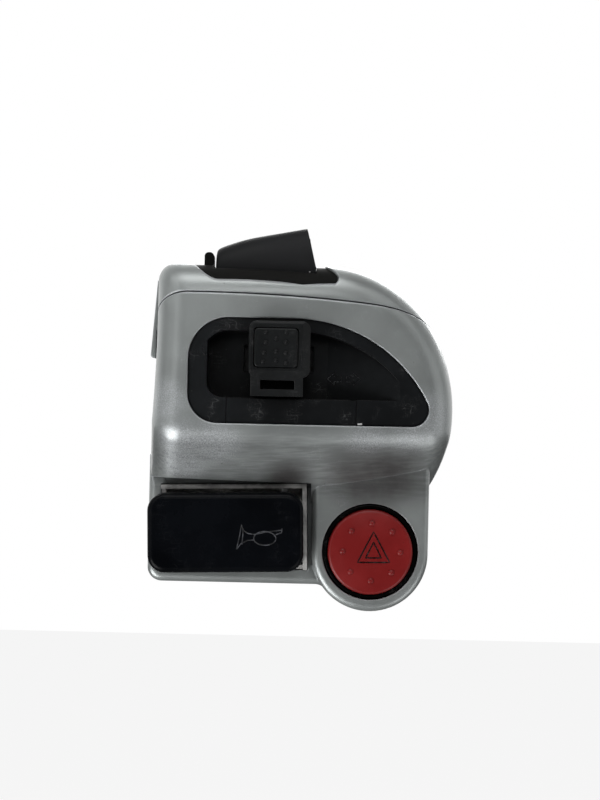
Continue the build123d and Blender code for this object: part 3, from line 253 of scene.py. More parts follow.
def dust_inside(graph: Graph, given: Sequence[bpy.types.NodeSocket]) -> dict[str, bpy.types.NodeSocket]:
    """Dust specks and a thin film that lies on faces turned upwards."""
    specks = graph.add("TexVoronoi", {"Vector": graph.place(), "Scale": given["Scale"], "Randomness": 1.0})
    pick = graph.add("SeparateColor", {0: specks.outputs["Color"]})
    small = graph.math("SUBTRACT", 1.0, graph.band(specks.outputs["Distance"], 0.03, 0.11))
    some = graph.math("MULTIPLY", small, graph.math("GREATER_THAN", pick.outputs[2], 0.8))
    up = graph.add("SeparateXYZ", {0: graph.add("TexCoord").outputs["Normal"]}).outputs[2]
    cloud = graph.add("TexNoise", {"Vector": graph.place(), "Scale": 160.0, "Detail": 5.0})
    film_and_shade = graph.math("MULTIPLY", graph.band(up, 0.1, 1.0), graph.band(cloud.outputs[0], 0.3, 0.8))
    both = graph.math("MAXIMUM", some, graph.math("MULTIPLY", film_and_shade, 0.35))
    return {"Mask": graph.math("MULTIPLY", both, given["Amount"])}


def zone_inside(graph: Graph, given: Sequence[bpy.types.NodeSocket]) -> dict[str, bpy.types.NodeSocket]:
    """A soft round zone about a point, for wear where a hand rubs, and for painted highlight and painted shade."""
    here = graph.add("TexCoord").outputs["Object"]
    centre = graph.add("CombineXYZ", {0: given["X"], 1: given["Y"], 2: given["Z"]}).outputs[0]
    away = graph.add("VectorMath", {0: here, 1: centre}, operation="DISTANCE").outputs["Value"]
    share = graph.math("DIVIDE", away, given["Reach"])
    return {"Mask": graph.math("SUBTRACT", 1.0, graph.band(share, 0.35, 1.0))}


def streak_inside(graph: Graph, given: Sequence[bpy.types.NodeSocket]) -> dict[str, bpy.types.NodeSocket]:
    """Streaks along X, rubbed into the sloping front of the casing between two heights."""
    fine = graph.add("TexNoise", {"Vector": graph.place((1, 9, 9), (0, 2, 0)), "Scale": 190.0, "Detail": 5.0})
    broad = graph.add("TexNoise", {"Vector": graph.place((1, 3.5, 3.5), (0, -3, 0)), "Scale": 62.0, "Detail": 3.0})
    here = graph.add("SeparateXYZ", {0: graph.add("TexCoord").outputs["Object"]}).outputs
    front = graph.math("SUBTRACT", 1.0, graph.band(here[1], -0.018, -0.01))
    below = graph.math("SUBTRACT", front, graph.band(here[2], -0.0125, -0.008))
    above = graph.band(here[2], -0.024, -0.021)
    both = graph.math("ADD", graph.math("MULTIPLY", fine.outputs[0], 0.6), graph.math("MULTIPLY", broad.outputs[0], 0.4))
    worked = graph.math("MULTIPLY", graph.band(both, 0.36, 0.62), graph.math("MULTIPLY", below, above))
    worked = graph.math("MAXIMUM", worked, 0.0)
    return {"Mask": graph.math("MULTIPLY", worked, given["Amount"])}


NUMBER = "NodeSocketFloat"


class Effects:
    """The shared surface effects, one node group each."""

    @staticmethod
    def grain() -> bpy.types.NodeTree:
        """The moulded grain group."""
        return effect("moulded_grain", {"Scale": 5200.0}, {"Fine": NUMBER}, grain_inside)

    @staticmethod
    def drift() -> bpy.types.NodeTree:
        """The slow change of tone."""
        return effect("tone_drift", {"Scale": 70.0}, {"Mask": NUMBER}, drift_inside)

    @staticmethod
    def scratches() -> bpy.types.NodeTree:
        """The hair scratches."""
        return effect("hair_scratches", {"Scale": 190.0, "Amount": 1.0}, {"Mask": NUMBER}, scratch_inside)

    @staticmethod
    def pits() -> bpy.types.NodeTree:
        """The pits and knocks."""
        return effect("pits", {"Scale": 900.0, "Amount": 0.1}, {"Mask": NUMBER}, pit_inside)

    @staticmethod
    def dust() -> bpy.types.NodeTree:
        """The dust."""
        return effect("dust", {"Scale": 700.0, "Amount": 0.5}, {"Mask": NUMBER}, dust_inside)

    @staticmethod
    def streaks() -> bpy.types.NodeTree:
        """The streaks on the sloping front."""
        return effect("rubbed_streaks", {"Amount": 1.0}, {"Mask": NUMBER}, streak_inside)

    @staticmethod
    def zone() -> bpy.types.NodeTree:
        """The round zone about a point, for rubbed wear, painted highlight and painted shade."""
        start = {"X": 0.0, "Y": 0.0, "Z": 0.0, "Reach": 0.01}
        return effect("round_zone", start, {"Mask": NUMBER}, zone_inside)


# Finishes


@dataclass(frozen=True)
class Finish:
    """A surface finish with its wear, and with painted highlight and painted shade where they are set.

    Attributes:
        name: The material's name.
        base: Its colour.
        worn_and_sheen: The colour that shows in scratches and rubbed places, and that is painted as highlight on
            rubbed points and bare edges.
        dust: The colour of dust on it.
        roughness: Roughness where it is clean.
        metallic: How metallic it is.
        coat: Weight of the clear layer.
        coat_roughness: Roughness of that layer.
        specular: How strongly it reflects straight on.
        grain: Height of the moulded grain, in metres.
        grain_scale: How fine the grain is.
        drift: How far the tone drifts.
        drift_scale: How small the patches of tone are.
        streaks: How strongly the sloping front is streaked.
        edge: Radius to which the light rounds the piece's edges, in metres.
        scratches: How many scratches show.
        pits: The share of cells with a pit.
        dirt: How much dust lies on it.
        rubbed_and_lit: Points rubbed by a hand and painted lighter as highlight, as x, y, z and reach.
        rub_and_sheen: How far the rubbed points are worn and lightened as painted highlight.
        bare_edges_and_sheen: How far the edges are worn bare and lightened as painted highlight.
        shaded_spots: Points darkened as painted shade, as x, y, z and reach.
        spot_shade: The dark colour painted there as shade.
        hollow_shade: How far corners and hollows are darkened as painted shade.
        hollow_reach: How wide such a corner is, in metres.
    """

    name: str
    base: Colour
    worn_and_sheen: Colour = (0.4, 0.4, 0.4)
    dust: Colour = (0.32, 0.31, 0.29)
    roughness: float = 0.4
    metallic: float = 0.0
    coat: float = 0.0
    coat_roughness: float = 0.12
    specular: float = 0.5
    grain: float = 0.00001
    grain_scale: float = 5200.0
    drift: float = 0.12
    drift_scale: float = 70.0
    streaks: float = 0.0
    edge: float = 0.00015
    scratches: float = 0.4
    pits: float = 0.05
    dirt: float = 0.4
    rubbed_and_lit: tuple[Spot, ...] = ()
    rub_and_sheen: float = 0.45
    bare_edges_and_sheen: float = 0.0
    shaded_spots: tuple[Spot, ...] = ()
    spot_shade: Colour = (0.03, 0.02, 0.02)
    hollow_shade: float = 0.0
    hollow_reach: float = 0.004

    def group(self, graph: Graph, tree: bpy.types.NodeTree, **values: float) -> bpy.types.Node:
        """Places a shared effect in the material.

        Args:
            graph: The material's graph.
            tree: The effect's group.
            **values: The group's inputs.

        Returns:
            The group node.
        """
        node = graph.add("Group", node_tree=tree)
        for name, value in values.items():
            node.inputs[name].default_value = value
        return node

    def material(self) -> bpy.types.Material:
        """Builds the material, or gives it if it is there already."""
        title = "finish_" + self.name
        if title in bpy.data.materials:
            return bpy.data.materials[title]
        made = bpy.data.materials.new(title)
        made.use_nodes = True
        made.diffuse_color = (*self.base, 1.0)
        graph = Graph(made.node_tree)
        made.node_tree.nodes.clear()
        drift = self.group(graph, Effects.drift(), Scale=self.drift_scale).outputs["Mask"]
        scratch = self.group(graph, Effects.scratches(), Amount=self.scratches).outputs["Mask"]
        pit = self.group(graph, Effects.pits(), Amount=self.pits).outputs["Mask"]
        dust = self.group(graph, Effects.dust(), Amount=self.dirt).outputs["Mask"]
        grain = self.group(graph, Effects.grain(), Scale=self.grain_scale)
        deeper = tuple(part * (1.0 - self.drift) for part in self.base)
        lighter = tuple(min(part * (1.0 + self.drift), 1.0) for part in self.base)
        colour = graph.mix(drift, deeper, lighter)
        if self.streaks:
            streak = self.group(graph, Effects.streaks(), Amount=self.streaks).outputs["Mask"]
            colour = graph.mix(streak, colour, tuple(part * 0.45 for part in self.base))
        # The wear mask gathers scratches, rubbed points and bare edges; on rubbed points and bare edges it is partly
        # painted highlight.
        wear_and_sheen = scratch
        # Rubbed points: worn, and painted lighter as highlight.
        for x, y, z, reach in self.rubbed_and_lit:
            zone = self.group(graph, Effects.zone(), X=x, Y=y, Z=z, Reach=reach).outputs["Mask"]
            patch = graph.math("MULTIPLY", zone, graph.band(grain.outputs["Fine"], 0.35, 0.75))
            wear_and_sheen = graph.math("MAXIMUM", wear_and_sheen, graph.math("MULTIPLY", patch, self.rub_and_sheen))
        round_edge = graph.add("Bevel", {"Radius": self.edge}, samples=6).outputs[0]
        # Edges worn bare and lightened as painted highlight.
        if self.bare_edges_and_sheen:
            true_way = graph.add("NewGeometry").outputs["Normal"]
            along = graph.add("VectorMath", {0: round_edge, 1: true_way}, operation="DOT_PRODUCT").outputs["Value"]
            bare_and_sheen = graph.band(graph.math("SUBTRACT", 1.0, along), 0.01, 0.12)
            bare_and_sheen = graph.math("MULTIPLY", bare_and_sheen, graph.math("ADD", graph.math("MULTIPLY", drift, 0.5), 0.5))
            wear_and_sheen = graph.math("MAXIMUM", wear_and_sheen, graph.math("MULTIPLY", bare_and_sheen, self.bare_edges_and_sheen))
        # Mixes in the worn colour: wear, and painted highlight on rubbed points and edges.
        colour = graph.mix(graph.math("MULTIPLY", wear_and_sheen, 0.6), colour, self.worn_and_sheen)
        colour = graph.mix(graph.math("MULTIPLY", pit, 0.5), colour, tuple(part * 0.4 for part in self.base))
        colour = graph.mix(dust, colour, self.dust)
        # Dark spots painted in as shade, at points along the crease under the bend.
        for x, y, z, reach in self.shaded_spots:
            zone = self.group(graph, Effects.zone(), X=x, Y=y, Z=z, Reach=reach).outputs["Mask"]
            film_and_shade = graph.math("MULTIPLY", zone, graph.math("ADD", graph.math("MULTIPLY", drift, 0.3), 0.5))
            colour = graph.mix(film_and_shade, colour, self.spot_shade)
        # Corners and hollows darkened by ambient occlusion, as painted shade.
        if self.hollow_shade:
            room = graph.add("AmbientOcclusion", {"Distance": self.hollow_reach}, samples=6).outputs["AO"]
            hollow_shade_mask = graph.math("MULTIPLY", graph.math("SUBTRACT", 1.0, room), self.hollow_shade)
            colour = graph.mix(graph.band(hollow_shade_mask, 0.0, 0.6), colour, tuple(part * 0.2 for part in self.base))
        rough = graph.math("ADD", self.roughness, graph.math("MULTIPLY", drift, 0.07))
        rough = graph.math("ADD", rough, graph.math("MULTIPLY", dust, 0.3))
        rough = graph.math("ADD", rough, graph.math("MULTIPLY", wear_and_sheen, 0.12))
        height = graph.math("SUBTRACT", grain.outputs["Fine"], graph.math("MULTIPLY", scratch, 0.8))
        height = graph.math("SUBTRACT", height, graph.math("MULTIPLY", pit, 2.0))
        bump = graph.add("Bump", {"Strength": 1.0, "Distance": self.grain, "Height": height, "Normal": round_edge})
        shader = graph.add(
            "BsdfPrincipled",
            {
                "Base Color": colour,
                "Roughness": rough,
                "Metallic": self.metallic,
                "Coat Weight": self.coat,
                "Coat Roughness": self.coat_roughness,
                "Specular IOR Level": self.specular,
                "Normal": bump.outputs[0],
            },
        )
        out = graph.add("OutputMaterial", {"Surface": shader.outputs[0]})
        out.is_active_output = True
        return made


CASING = Finish(
    "casing_silver",
    base=(0.34, 0.362, 0.358),
    # Bright worn colour, also painted as highlight on the rubbed points and edges.
    worn_and_sheen=(0.78, 0.8, 0.85),
    roughness=0.34,
    metallic=0.6,
    coat=0.35,
    coat_roughness=0.15,
    grain=0.000012,
    drift=0.06,
    streaks=0.5,
    edge=0.0005,
    # Bare edges: partly wear, partly painted highlight on the rims.
    bare_edges_and_sheen=0.8,
    scratches=0.22,
    pits=0.04,
    dirt=0.12,
    # Rubbed points at the bend's ends and the left edge: partly wear, partly painted highlight.
    rubbed_and_lit=(
        (0.0275, -0.0245, -0.006, 0.008),
        (0.0235, -0.0265, -0.0105, 0.0085),
        (0.014, -0.0265, -0.0115, 0.007),
        (-0.0245, -0.0262, -0.0122, 0.0075),
        (-0.017, -0.0262, -0.0122, 0.0075),
        (-0.0235, -0.0235, -0.0175, 0.007),
        (-0.0268, -0.0255, -0.0035, 0.006),
    ),
    rub_and_sheen=0.95,
    # Painted shade at points along the crease above the boss and the horn key.
    shaded_spots=((0.0135, -0.0225, -0.0205, 0.011), (0.021, -0.022, -0.019, 0.009), (-0.002, -0.022, -0.021, 0.008)),
    # Painted shade in corners and seams.
    hollow_shade=0.6,
    hollow_reach=0.002,
)
PANEL = Finish(
    "panel_black",
    base=(0.007, 0.008, 0.009),
    roughness=0.38,
    specular=0.14,
    drift=0.3,
    scratches=0.2,
    dirt=0.1,
    # Painted shade in the panel's recess.
    hollow_shade=0.9,
)
KNOB = Finish(
    "knob_black",
    base=(0.007, 0.008, 0.0085),
    worn_and_sheen=(0.12, 0.12, 0.12),
    roughness=0.34,
    specular=0.2,
    drift=0.25,
    bare_edges_and_sheen=0.5,
    scratches=0.4,
    dirt=0.06,
)
LEVER = Finish(
    "lever_black",
    base=(0.0075, 0.008, 0.009),
    worn_and_sheen=(0.06, 0.06, 0.06),
    roughness=0.5,
    specular=0.2,
    drift=0.2,
    scratches=0.05,
    dirt=0.01,
)
BEZEL = Finish(
    "bezel_black",
    base=(0.0055, 0.0055, 0.005),
    worn_and_sheen=(0.06, 0.06, 0.06),
    roughness=0.6,
    specular=0.1,
    drift=0.2,
    scratches=0.1,
    dirt=0.02,
)
RING = Finish("ring_black", base=(0.002, 0.002, 0.002), roughness=0.2, specular=0.08, drift=0.2, scratches=0.1, dirt=0.02)
HORN = Finish(
    "horn_black",
    base=(0.0022, 0.0027, 0.0038),
    worn_and_sheen=(0.05, 0.05, 0.055),
    roughness=0.22,
    specular=0.08,
    drift=0.35,
    drift_scale=45.0,
    edge=0.0003,
    scratches=0.15,
    dirt=0.004,
)
FRAME = Finish(
    "frame_brown",
    base=(0.4, 0.395, 0.385),
    worn_and_sheen=(0.1, 0.09, 0.08),
    roughness=0.45,
    metallic=0.4,
    drift=0.35,
    drift_scale=220.0,
    scratches=0.6,
    pits=0.3,
    dirt=0.4,
)
HAZARD = Finish(
    "hazard_red",
    base=(0.2, 0.009, 0.009),
    worn_and_sheen=(0.4, 0.1, 0.09),
    dust=(0.3, 0.12, 0.11),
    roughness=0.3,
    specular=0.35,
    drift=0.12,
    scratches=0.2,
    dirt=0.04,
)
RUBBER = Finish("rubber_black", base=(0.02, 0.02, 0.02), roughness=0.7, scratches=0.1, dirt=0.6)
STEEL = Finish("screw_steel", base=(0.5, 0.5, 0.51), roughness=0.32, metallic=1.0, scratches=0.6, grain=0.000004, dirt=0.3)
INNER = Finish("inner_black", base=(0.025, 0.025, 0.026), roughness=0.55, scratches=0.2, dirt=0.3)
BRASS = Finish("contact_brass", base=(0.62, 0.43, 0.15), roughness=0.3, metallic=1.0, scratches=0.5, dirt=0.2)

NODE_FINISHES: dict[Finish, tuple[str, ...]] = {
    CASING: ("front_housing", "upper_housing", "rear_cover"),
    PANEL: ("indicator_bezel", "blanking_strip"),
    BEZEL: ("dip_bezel",),
    RING: ("hazard_sleeve",),
    KNOB: ("indicator_knob", "cancel_cap"),
    LEVER: ("dip_lever",),
    HORN: ("horn_key",),
    FRAME: ("horn_frame",),
    HAZARD: ("hazard_cap",),
    RUBBER: ("cable_grommet",),
    STEEL: (
        "clamp_screws",
        "rear_cover_screws",
        "indicator_screws",
        "horn_screws",
        "horn_hinge_pin",
        "dip_pivot_pin",
        "detent_ball",
        "detent_spring",
        "cancel_spring",
        "horn_spring",
        "hazard_spring",
    ),
    INNER: ("indicator_base", "dip_base", "indicator_carrier", "hazard_switch_body", "hazard_plunger"),
    BRASS: (
        "indicator_contacts",
        "slider_contact",
        "dip_contacts",
        "dip_wiper",
        "horn_fixed_contact",
        "horn_moving_contact",
        "hazard_terminals",
    ),
}


def dress(obj: bpy.types.Object, finish: Finish) -> None:
    """Puts a finish on every slot of an object.

    Args:
        obj: The object to dress.
        finish: Its finish.
    """
    made = finish.material()
    if not obj.material_slots:
        obj.data.materials.append(made)
    for slot in obj.material_slots:
        slot.material = made


# Studio


@dataclass
class Studio:
    """The camera, the lamps, the pale floor and the white surroundings."""

    camera_place: tuple[float, float, float] = (0.0, -0.345, -0.003)
    lens: float = 71.6
    sensor: float = 36.0
    roll: float = -1.3
    floor_height: float = -0.5
    floor_reach: float = 3.0
    floor_tone: float = 0.25
    floor_glow: float = 0.85
    back_light: float = 0.5
    front_light: float = 0.05
    lamp_reach: float = 0.6
    boxes: tuple[tuple[str, tuple[float, float, float], Place, float], ...] = (
        ("over", (0.0, -0.5, 0.85), (0.4, 0.3), 1.15),
        ("over_left", (-0.6, -0.5, 0.6), (0.35, 0.35), 0.47),
        ("over_right", (0.6, -0.5, 0.6), (0.35, 0.35), 0.25),
        ("left", (-0.95, -0.3, 0.0), (0.2, 0.45), 0.12),
        ("left_front", (-0.7, -0.7, 0.05), (0.2, 0.45), 0.19),
        ("right", (0.95, -0.3, 0.0), (0.35, 0.45), 0.33),
        ("low_left", (-0.35, -0.78, -0.5), (0.22, 0.12), 0.22),
        ("low_right", (0.6, -0.65, -0.45), (0.15, 0.12), 0.12),
        ("under_left", (-0.6, -0.5, -0.6), (0.35, 0.3), 2.0),
        ("under_right", (0.5, -0.5, -0.7), (0.35, 0.3), 0.55),
        ("front", (0.05, -0.95, 0.35), (0.25, 0.15), 0.32),
        ("back", (0.2, 0.9, 0.5), (0.6, 0.4), 3.0),
    )

    def camera(self) -> None:
        """Stands the camera on the rider's side, rolled as in the photograph."""
        data = bpy.data.cameras.new("camera")
        data.sensor_fit = "VERTICAL"
        data.sensor_height = self.sensor
        data.lens = self.lens
        camera = bpy.data.objects.new("camera", data)
        camera.location = self.camera_place
        camera.rotation_euler = (radians(90), radians(self.roll), 0)
        bpy.context.scene.collection.objects.link(camera)
        bpy.context.scene.camera = camera

    def lamp(self, name: str, place: Sequence[float], size: Place, power: float) -> None:
        """Hangs a soft box that faces the cluster.

        Args:
            name: The lamp's name.
            place: Where it hangs.
            size: Its width and height.
            power: Its power in watts.
        """
        data = bpy.data.lights.new(name, "AREA")
        data.shape = "RECTANGLE"
        data.size, data.size_y = size
        data.energy = power
        lamp = bpy.data.objects.new(name, data)
        lamp.location = place
        lamp.rotation_euler = (-Vector(place)).to_track_quat("-Z", "Y").to_euler()
        lamp.visible_camera = False
        bpy.context.scene.collection.objects.link(lamp)

    def lamps(self) -> None:
        """Hangs the soft boxes round the cluster."""
        for name, way, size, power in self.boxes:
            self.lamp(name, [part * self.lamp_reach for part in way], size, power)

    def floor(self) -> None:
        """Lays the pale floor."""
        deselect()
        bpy.ops.mesh.primitive_plane_add(size=2 * self.floor_reach, location=(0, 0, self.floor_height))
        plane = bpy.context.object
        plane.name = "floor"
        made = bpy.data.materials.new("floor_pale")
        made.use_nodes = True
        graph = Graph(made.node_tree)
        made.node_tree.nodes.clear()
        pale = (self.floor_tone, self.floor_tone, self.floor_tone, 1.0)
        matt = graph.add("BsdfDiffuse", {"Color": pale})
        seen = graph.add("LightPath").outputs["Is Camera Ray"]
        glow = graph.add("Emission", {"Strength": graph.math("MULTIPLY", seen, self.floor_glow)})
        both = graph.add("AddShader", {0: matt.outputs[0], 1: glow.outputs[0]})
        graph.add("OutputMaterial", {"Surface": both.outputs[0]})
        plane.data.materials.append(made)

    def surroundings(self) -> None:
        """Makes the world white to the camera and behind the object, and softly lit all round."""
        world = bpy.data.worlds.new("studio")
        bpy.context.scene.world = world
        world.use_nodes = True
        graph = Graph(world.node_tree)
        world.node_tree.nodes.clear()
        path = graph.add("LightPath").outputs
        way = graph.add("SeparateXYZ", {0: graph.add("TexCoord").outputs["Generated"]}).outputs
        soft = graph.math("MULTIPLY", graph.band(way[1], -0.2, 0.4), self.back_light - self.front_light)
        soft = graph.math("ADD", soft, self.front_light)
        behind = graph.math("MULTIPLY", path["Is Glossy Ray"], graph.band(way[1], 0.1, 0.6))
        shown = graph.math("MAXIMUM", path["Is Camera Ray"], behind)
        light = graph.add("Background", {"Color": (1, 1, 1, 1), "Strength": graph.math("MAXIMUM", shown, soft)})
        graph.add("OutputWorld", {"Surface": light.outputs[0]})

    def build(self) -> None:
        """Sets up the whole studio."""
        self.camera()
        self.lamps()
        self.floor()
        self.surroundings()
        bpy.context.scene.view_settings.view_transform = "Standard"


# Modelling helpers


def deselect() -> None:
    """Leaves nothing selected and object mode on."""
    if bpy.context.object and bpy.context.object.mode != "OBJECT":
        bpy.ops.object.mode_set(mode="OBJECT")
    bpy.ops.object.select_all(action="DESELECT")


def settle(obj: bpy.types.Object, name: str, finish: Finish, body: Body) -> bpy.types.Object:
    """Names a finished piece, puts its place into its mesh, dresses it and sets it on its body.

    Args:
        obj: The finished mesh object.
        name: Its name.
        finish: Its finish.
        body: The body it rides on.

    Returns:
        The same object.
    """
    deselect()
    obj.select_set(True)
    bpy.context.view_layer.objects.active = obj
    bpy.ops.object.transform_apply(location=True, rotation=True, scale=True)
    bpy.ops.object.shade_smooth_by_angle(angle=radians(35))
    obj.name = name
    obj.data.name = name
    dress(obj, finish)
    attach(obj, body.value)
    log.info("%s has %d faces and rides on %s", name, len(obj.data.polygons), body.value)
    return obj


def joined(parts: Sequence[bpy.types.Object]) -> bpy.types.Object:
    """Joins several mesh objects into one.

    Args:
        parts: The objects, of which the first stays.

    Returns:
        The joined object.
    """
    deselect()
    for part in parts:
        part.select_set(True)
    bpy.context.view_layer.objects.active = parts[0]
    if len(parts) > 1:
        bpy.ops.object.join()
    return bpy.context.object


def copied(source: bpy.types.Object, place: Sequence[float]) -> bpy.types.Object:
    """Copies an object with a mesh of its own.

    Args:
        source: The object to copy.
        place: Where the copy goes.

    Returns:
        The copy.
    """
    deselect()
    source.select_set(True)
    bpy.context.view_layer.objects.active = source
    bpy.ops.object.duplicate(linked=False)
    twin = bpy.context.object
    twin.location = place
    return twin


def apply_all(obj: bpy.types.Object) -> None:
    """Applies every modifier of an object in order.

    Args:
        obj: The object.
    """
    deselect()
    obj.select_set(True)
    bpy.context.view_layer.objects.active = obj
    for modifier in list(obj.modifiers):
        bpy.ops.object.modifier_apply(modifier=modifier.name)


def stud(radius: float, height: float, place: Sequence[float]) -> bpy.types.Object:
    """Shapes one low rounded stud that points at the rider.

    Args:
        radius: Its radius.
        height: How far it stands out.
        place: The middle of its foot.

    Returns:
        The stud.
    """
    deselect()
    bpy.ops.mesh.primitive_uv_sphere_add(
        segments=20, ring_count=12, radius=radius, location=place, rotation=(radians(90), 0, 0)
    )
    ball = bpy.context.object
    bpy.ops.object.mode_set(mode="EDIT")
    bpy.ops.mesh.bisect(
        plane_co=(place[0], place[1] + 0.3 * height, place[2]), plane_no=(0, 1, 0), clear_outer=True, use_fill=True
    )
    bpy.ops.object.mode_set(mode="OBJECT")
    ball.scale = (1, 1, height / radius)
    return ball


def drawn(
    points: Sequence[Place], width: float, depth: float, closed: bool = False, steps: int = 1
) -> bpy.types.Object:
    """Draws one raised line of a sign in a plane that faces the rider.

    Args:
        points: The line's corners as x and z.
        width: The line's width.
        depth: Where the line's back lies along Y.
        closed: Whether the last corner joins the first.
        steps: Into how many runs each side is divided, so that it can follow a crown.

    Returns:
        The line as a mesh.
    """
    deselect()
    ends = list(points[1:]) + ([points[0]] if closed else [])
    finer = []
    for (x0, z0), (x1, z1) in zip(points, ends):
        finer += [(x0 + (x1 - x0) * step / steps, z0 + (z1 - z0) * step / steps) for step in range(steps)]
    points = finer + ([] if closed else [points[-1]])
    bpy.ops.curve.primitive_bezier_curve_add(location=(0, 0, 0))
    line = bpy.context.object
    curve = line.data
    curve.dimensions = "3D"
    curve.splines.clear()
    run = curve.splines.new("POLY")
    run.points.add(len(points) - 1)
    for point, (x, z) in zip(run.points, points):
        point.co = (x, 0, z, 1)
    run.use_cyclic_u = closed
    curve.bevel_depth = width / 2
    curve.bevel_resolution = 1
    curve.use_fill_caps = True
    bpy.ops.object.convert(target="MESH")
    flat = bpy.context.object
    flat.scale = (1, 0.2, 1)
    flat.location = (0, depth, 0)
    bpy.ops.object.transform_apply(location=True, rotation=True, scale=True)
    return flat


def laid_on(obj: bpy.types.Object, node: bpy.types.Object, lift: float) -> None:
    """Presses a drawn sign along Y onto the surface of a node.

    Args:
        obj: The sign.
        node: The node it lies on.
        lift: How far the sign's points stand off the surface.
    """
    wrap = obj.modifiers.new("wrap", "SHRINKWRAP")
    wrap.target = node
    wrap.wrap_method = "PROJECT"
    wrap.use_project_x = False
    wrap.use_project_y = True
    wrap.use_project_z = False
    wrap.use_positive_direction = True
    wrap.use_negative_direction = True
    wrap.offset = lift
    apply_all(obj)


# Signs and grips


PRINT_GREY = Finish(
    "print_grey", base=(0.12, 0.125, 0.13), roughness=0.5, drift=0.6, drift_scale=700.0, scratches=0.2, dirt=0.0
)
PRINT_WORN = Finish(
    "print_worn", base=(0.035, 0.037, 0.043), roughness=0.4, drift=0.95, drift_scale=900.0, scratches=0.1, dirt=0.0
)
CHIP = Finish("chip_pale", base=(0.5, 0.5, 0.5), roughness=0.5, drift=0.3, scratches=0.0, dirt=0.0)
PRINT_DARK = Finish(
    "print_dark", base=(0.006, 0.004, 0.005), roughness=0.5, specular=0.3, drift=0.2, scratches=0.1, dirt=0.02
)


@dataclass
class CancelGrip:
    """The raised grip studs on the push-to-cancel cap, in three staggered columns."""

    face: float = -31.9 * MM
    radius: float = 0.42 * MM
    height: float = 0.3 * MM
    studs: tuple[Place, ...] = (
        (-3.0, 10.3),
        (-3.0, 8.3),
        (-3.0, 6.2),
        (-3.0, 4.2),
        (-4.95, 9.0),
        (-4.95, 6.4),
        (-4.95, 4.7),
        (-7.0, 10.1),
        (-7.0, 8.2),
        (-7.3, 6.1),
        (-7.5, 4.4),
    )

    def build(self) -> None:
        """Models one stud, copies it to each place and sets the grip on the cap."""
        x, z = self.studs[0]
        first = stud(self.radius, self.height, (x * MM, self.face, z * MM))
        rest = [copied(first, (x * MM, self.face, z * MM)) for x, z in self.studs[1:]]
        settle(joined([first, *rest]), "cancel_cap_studs", KNOB, Body.CANCEL)


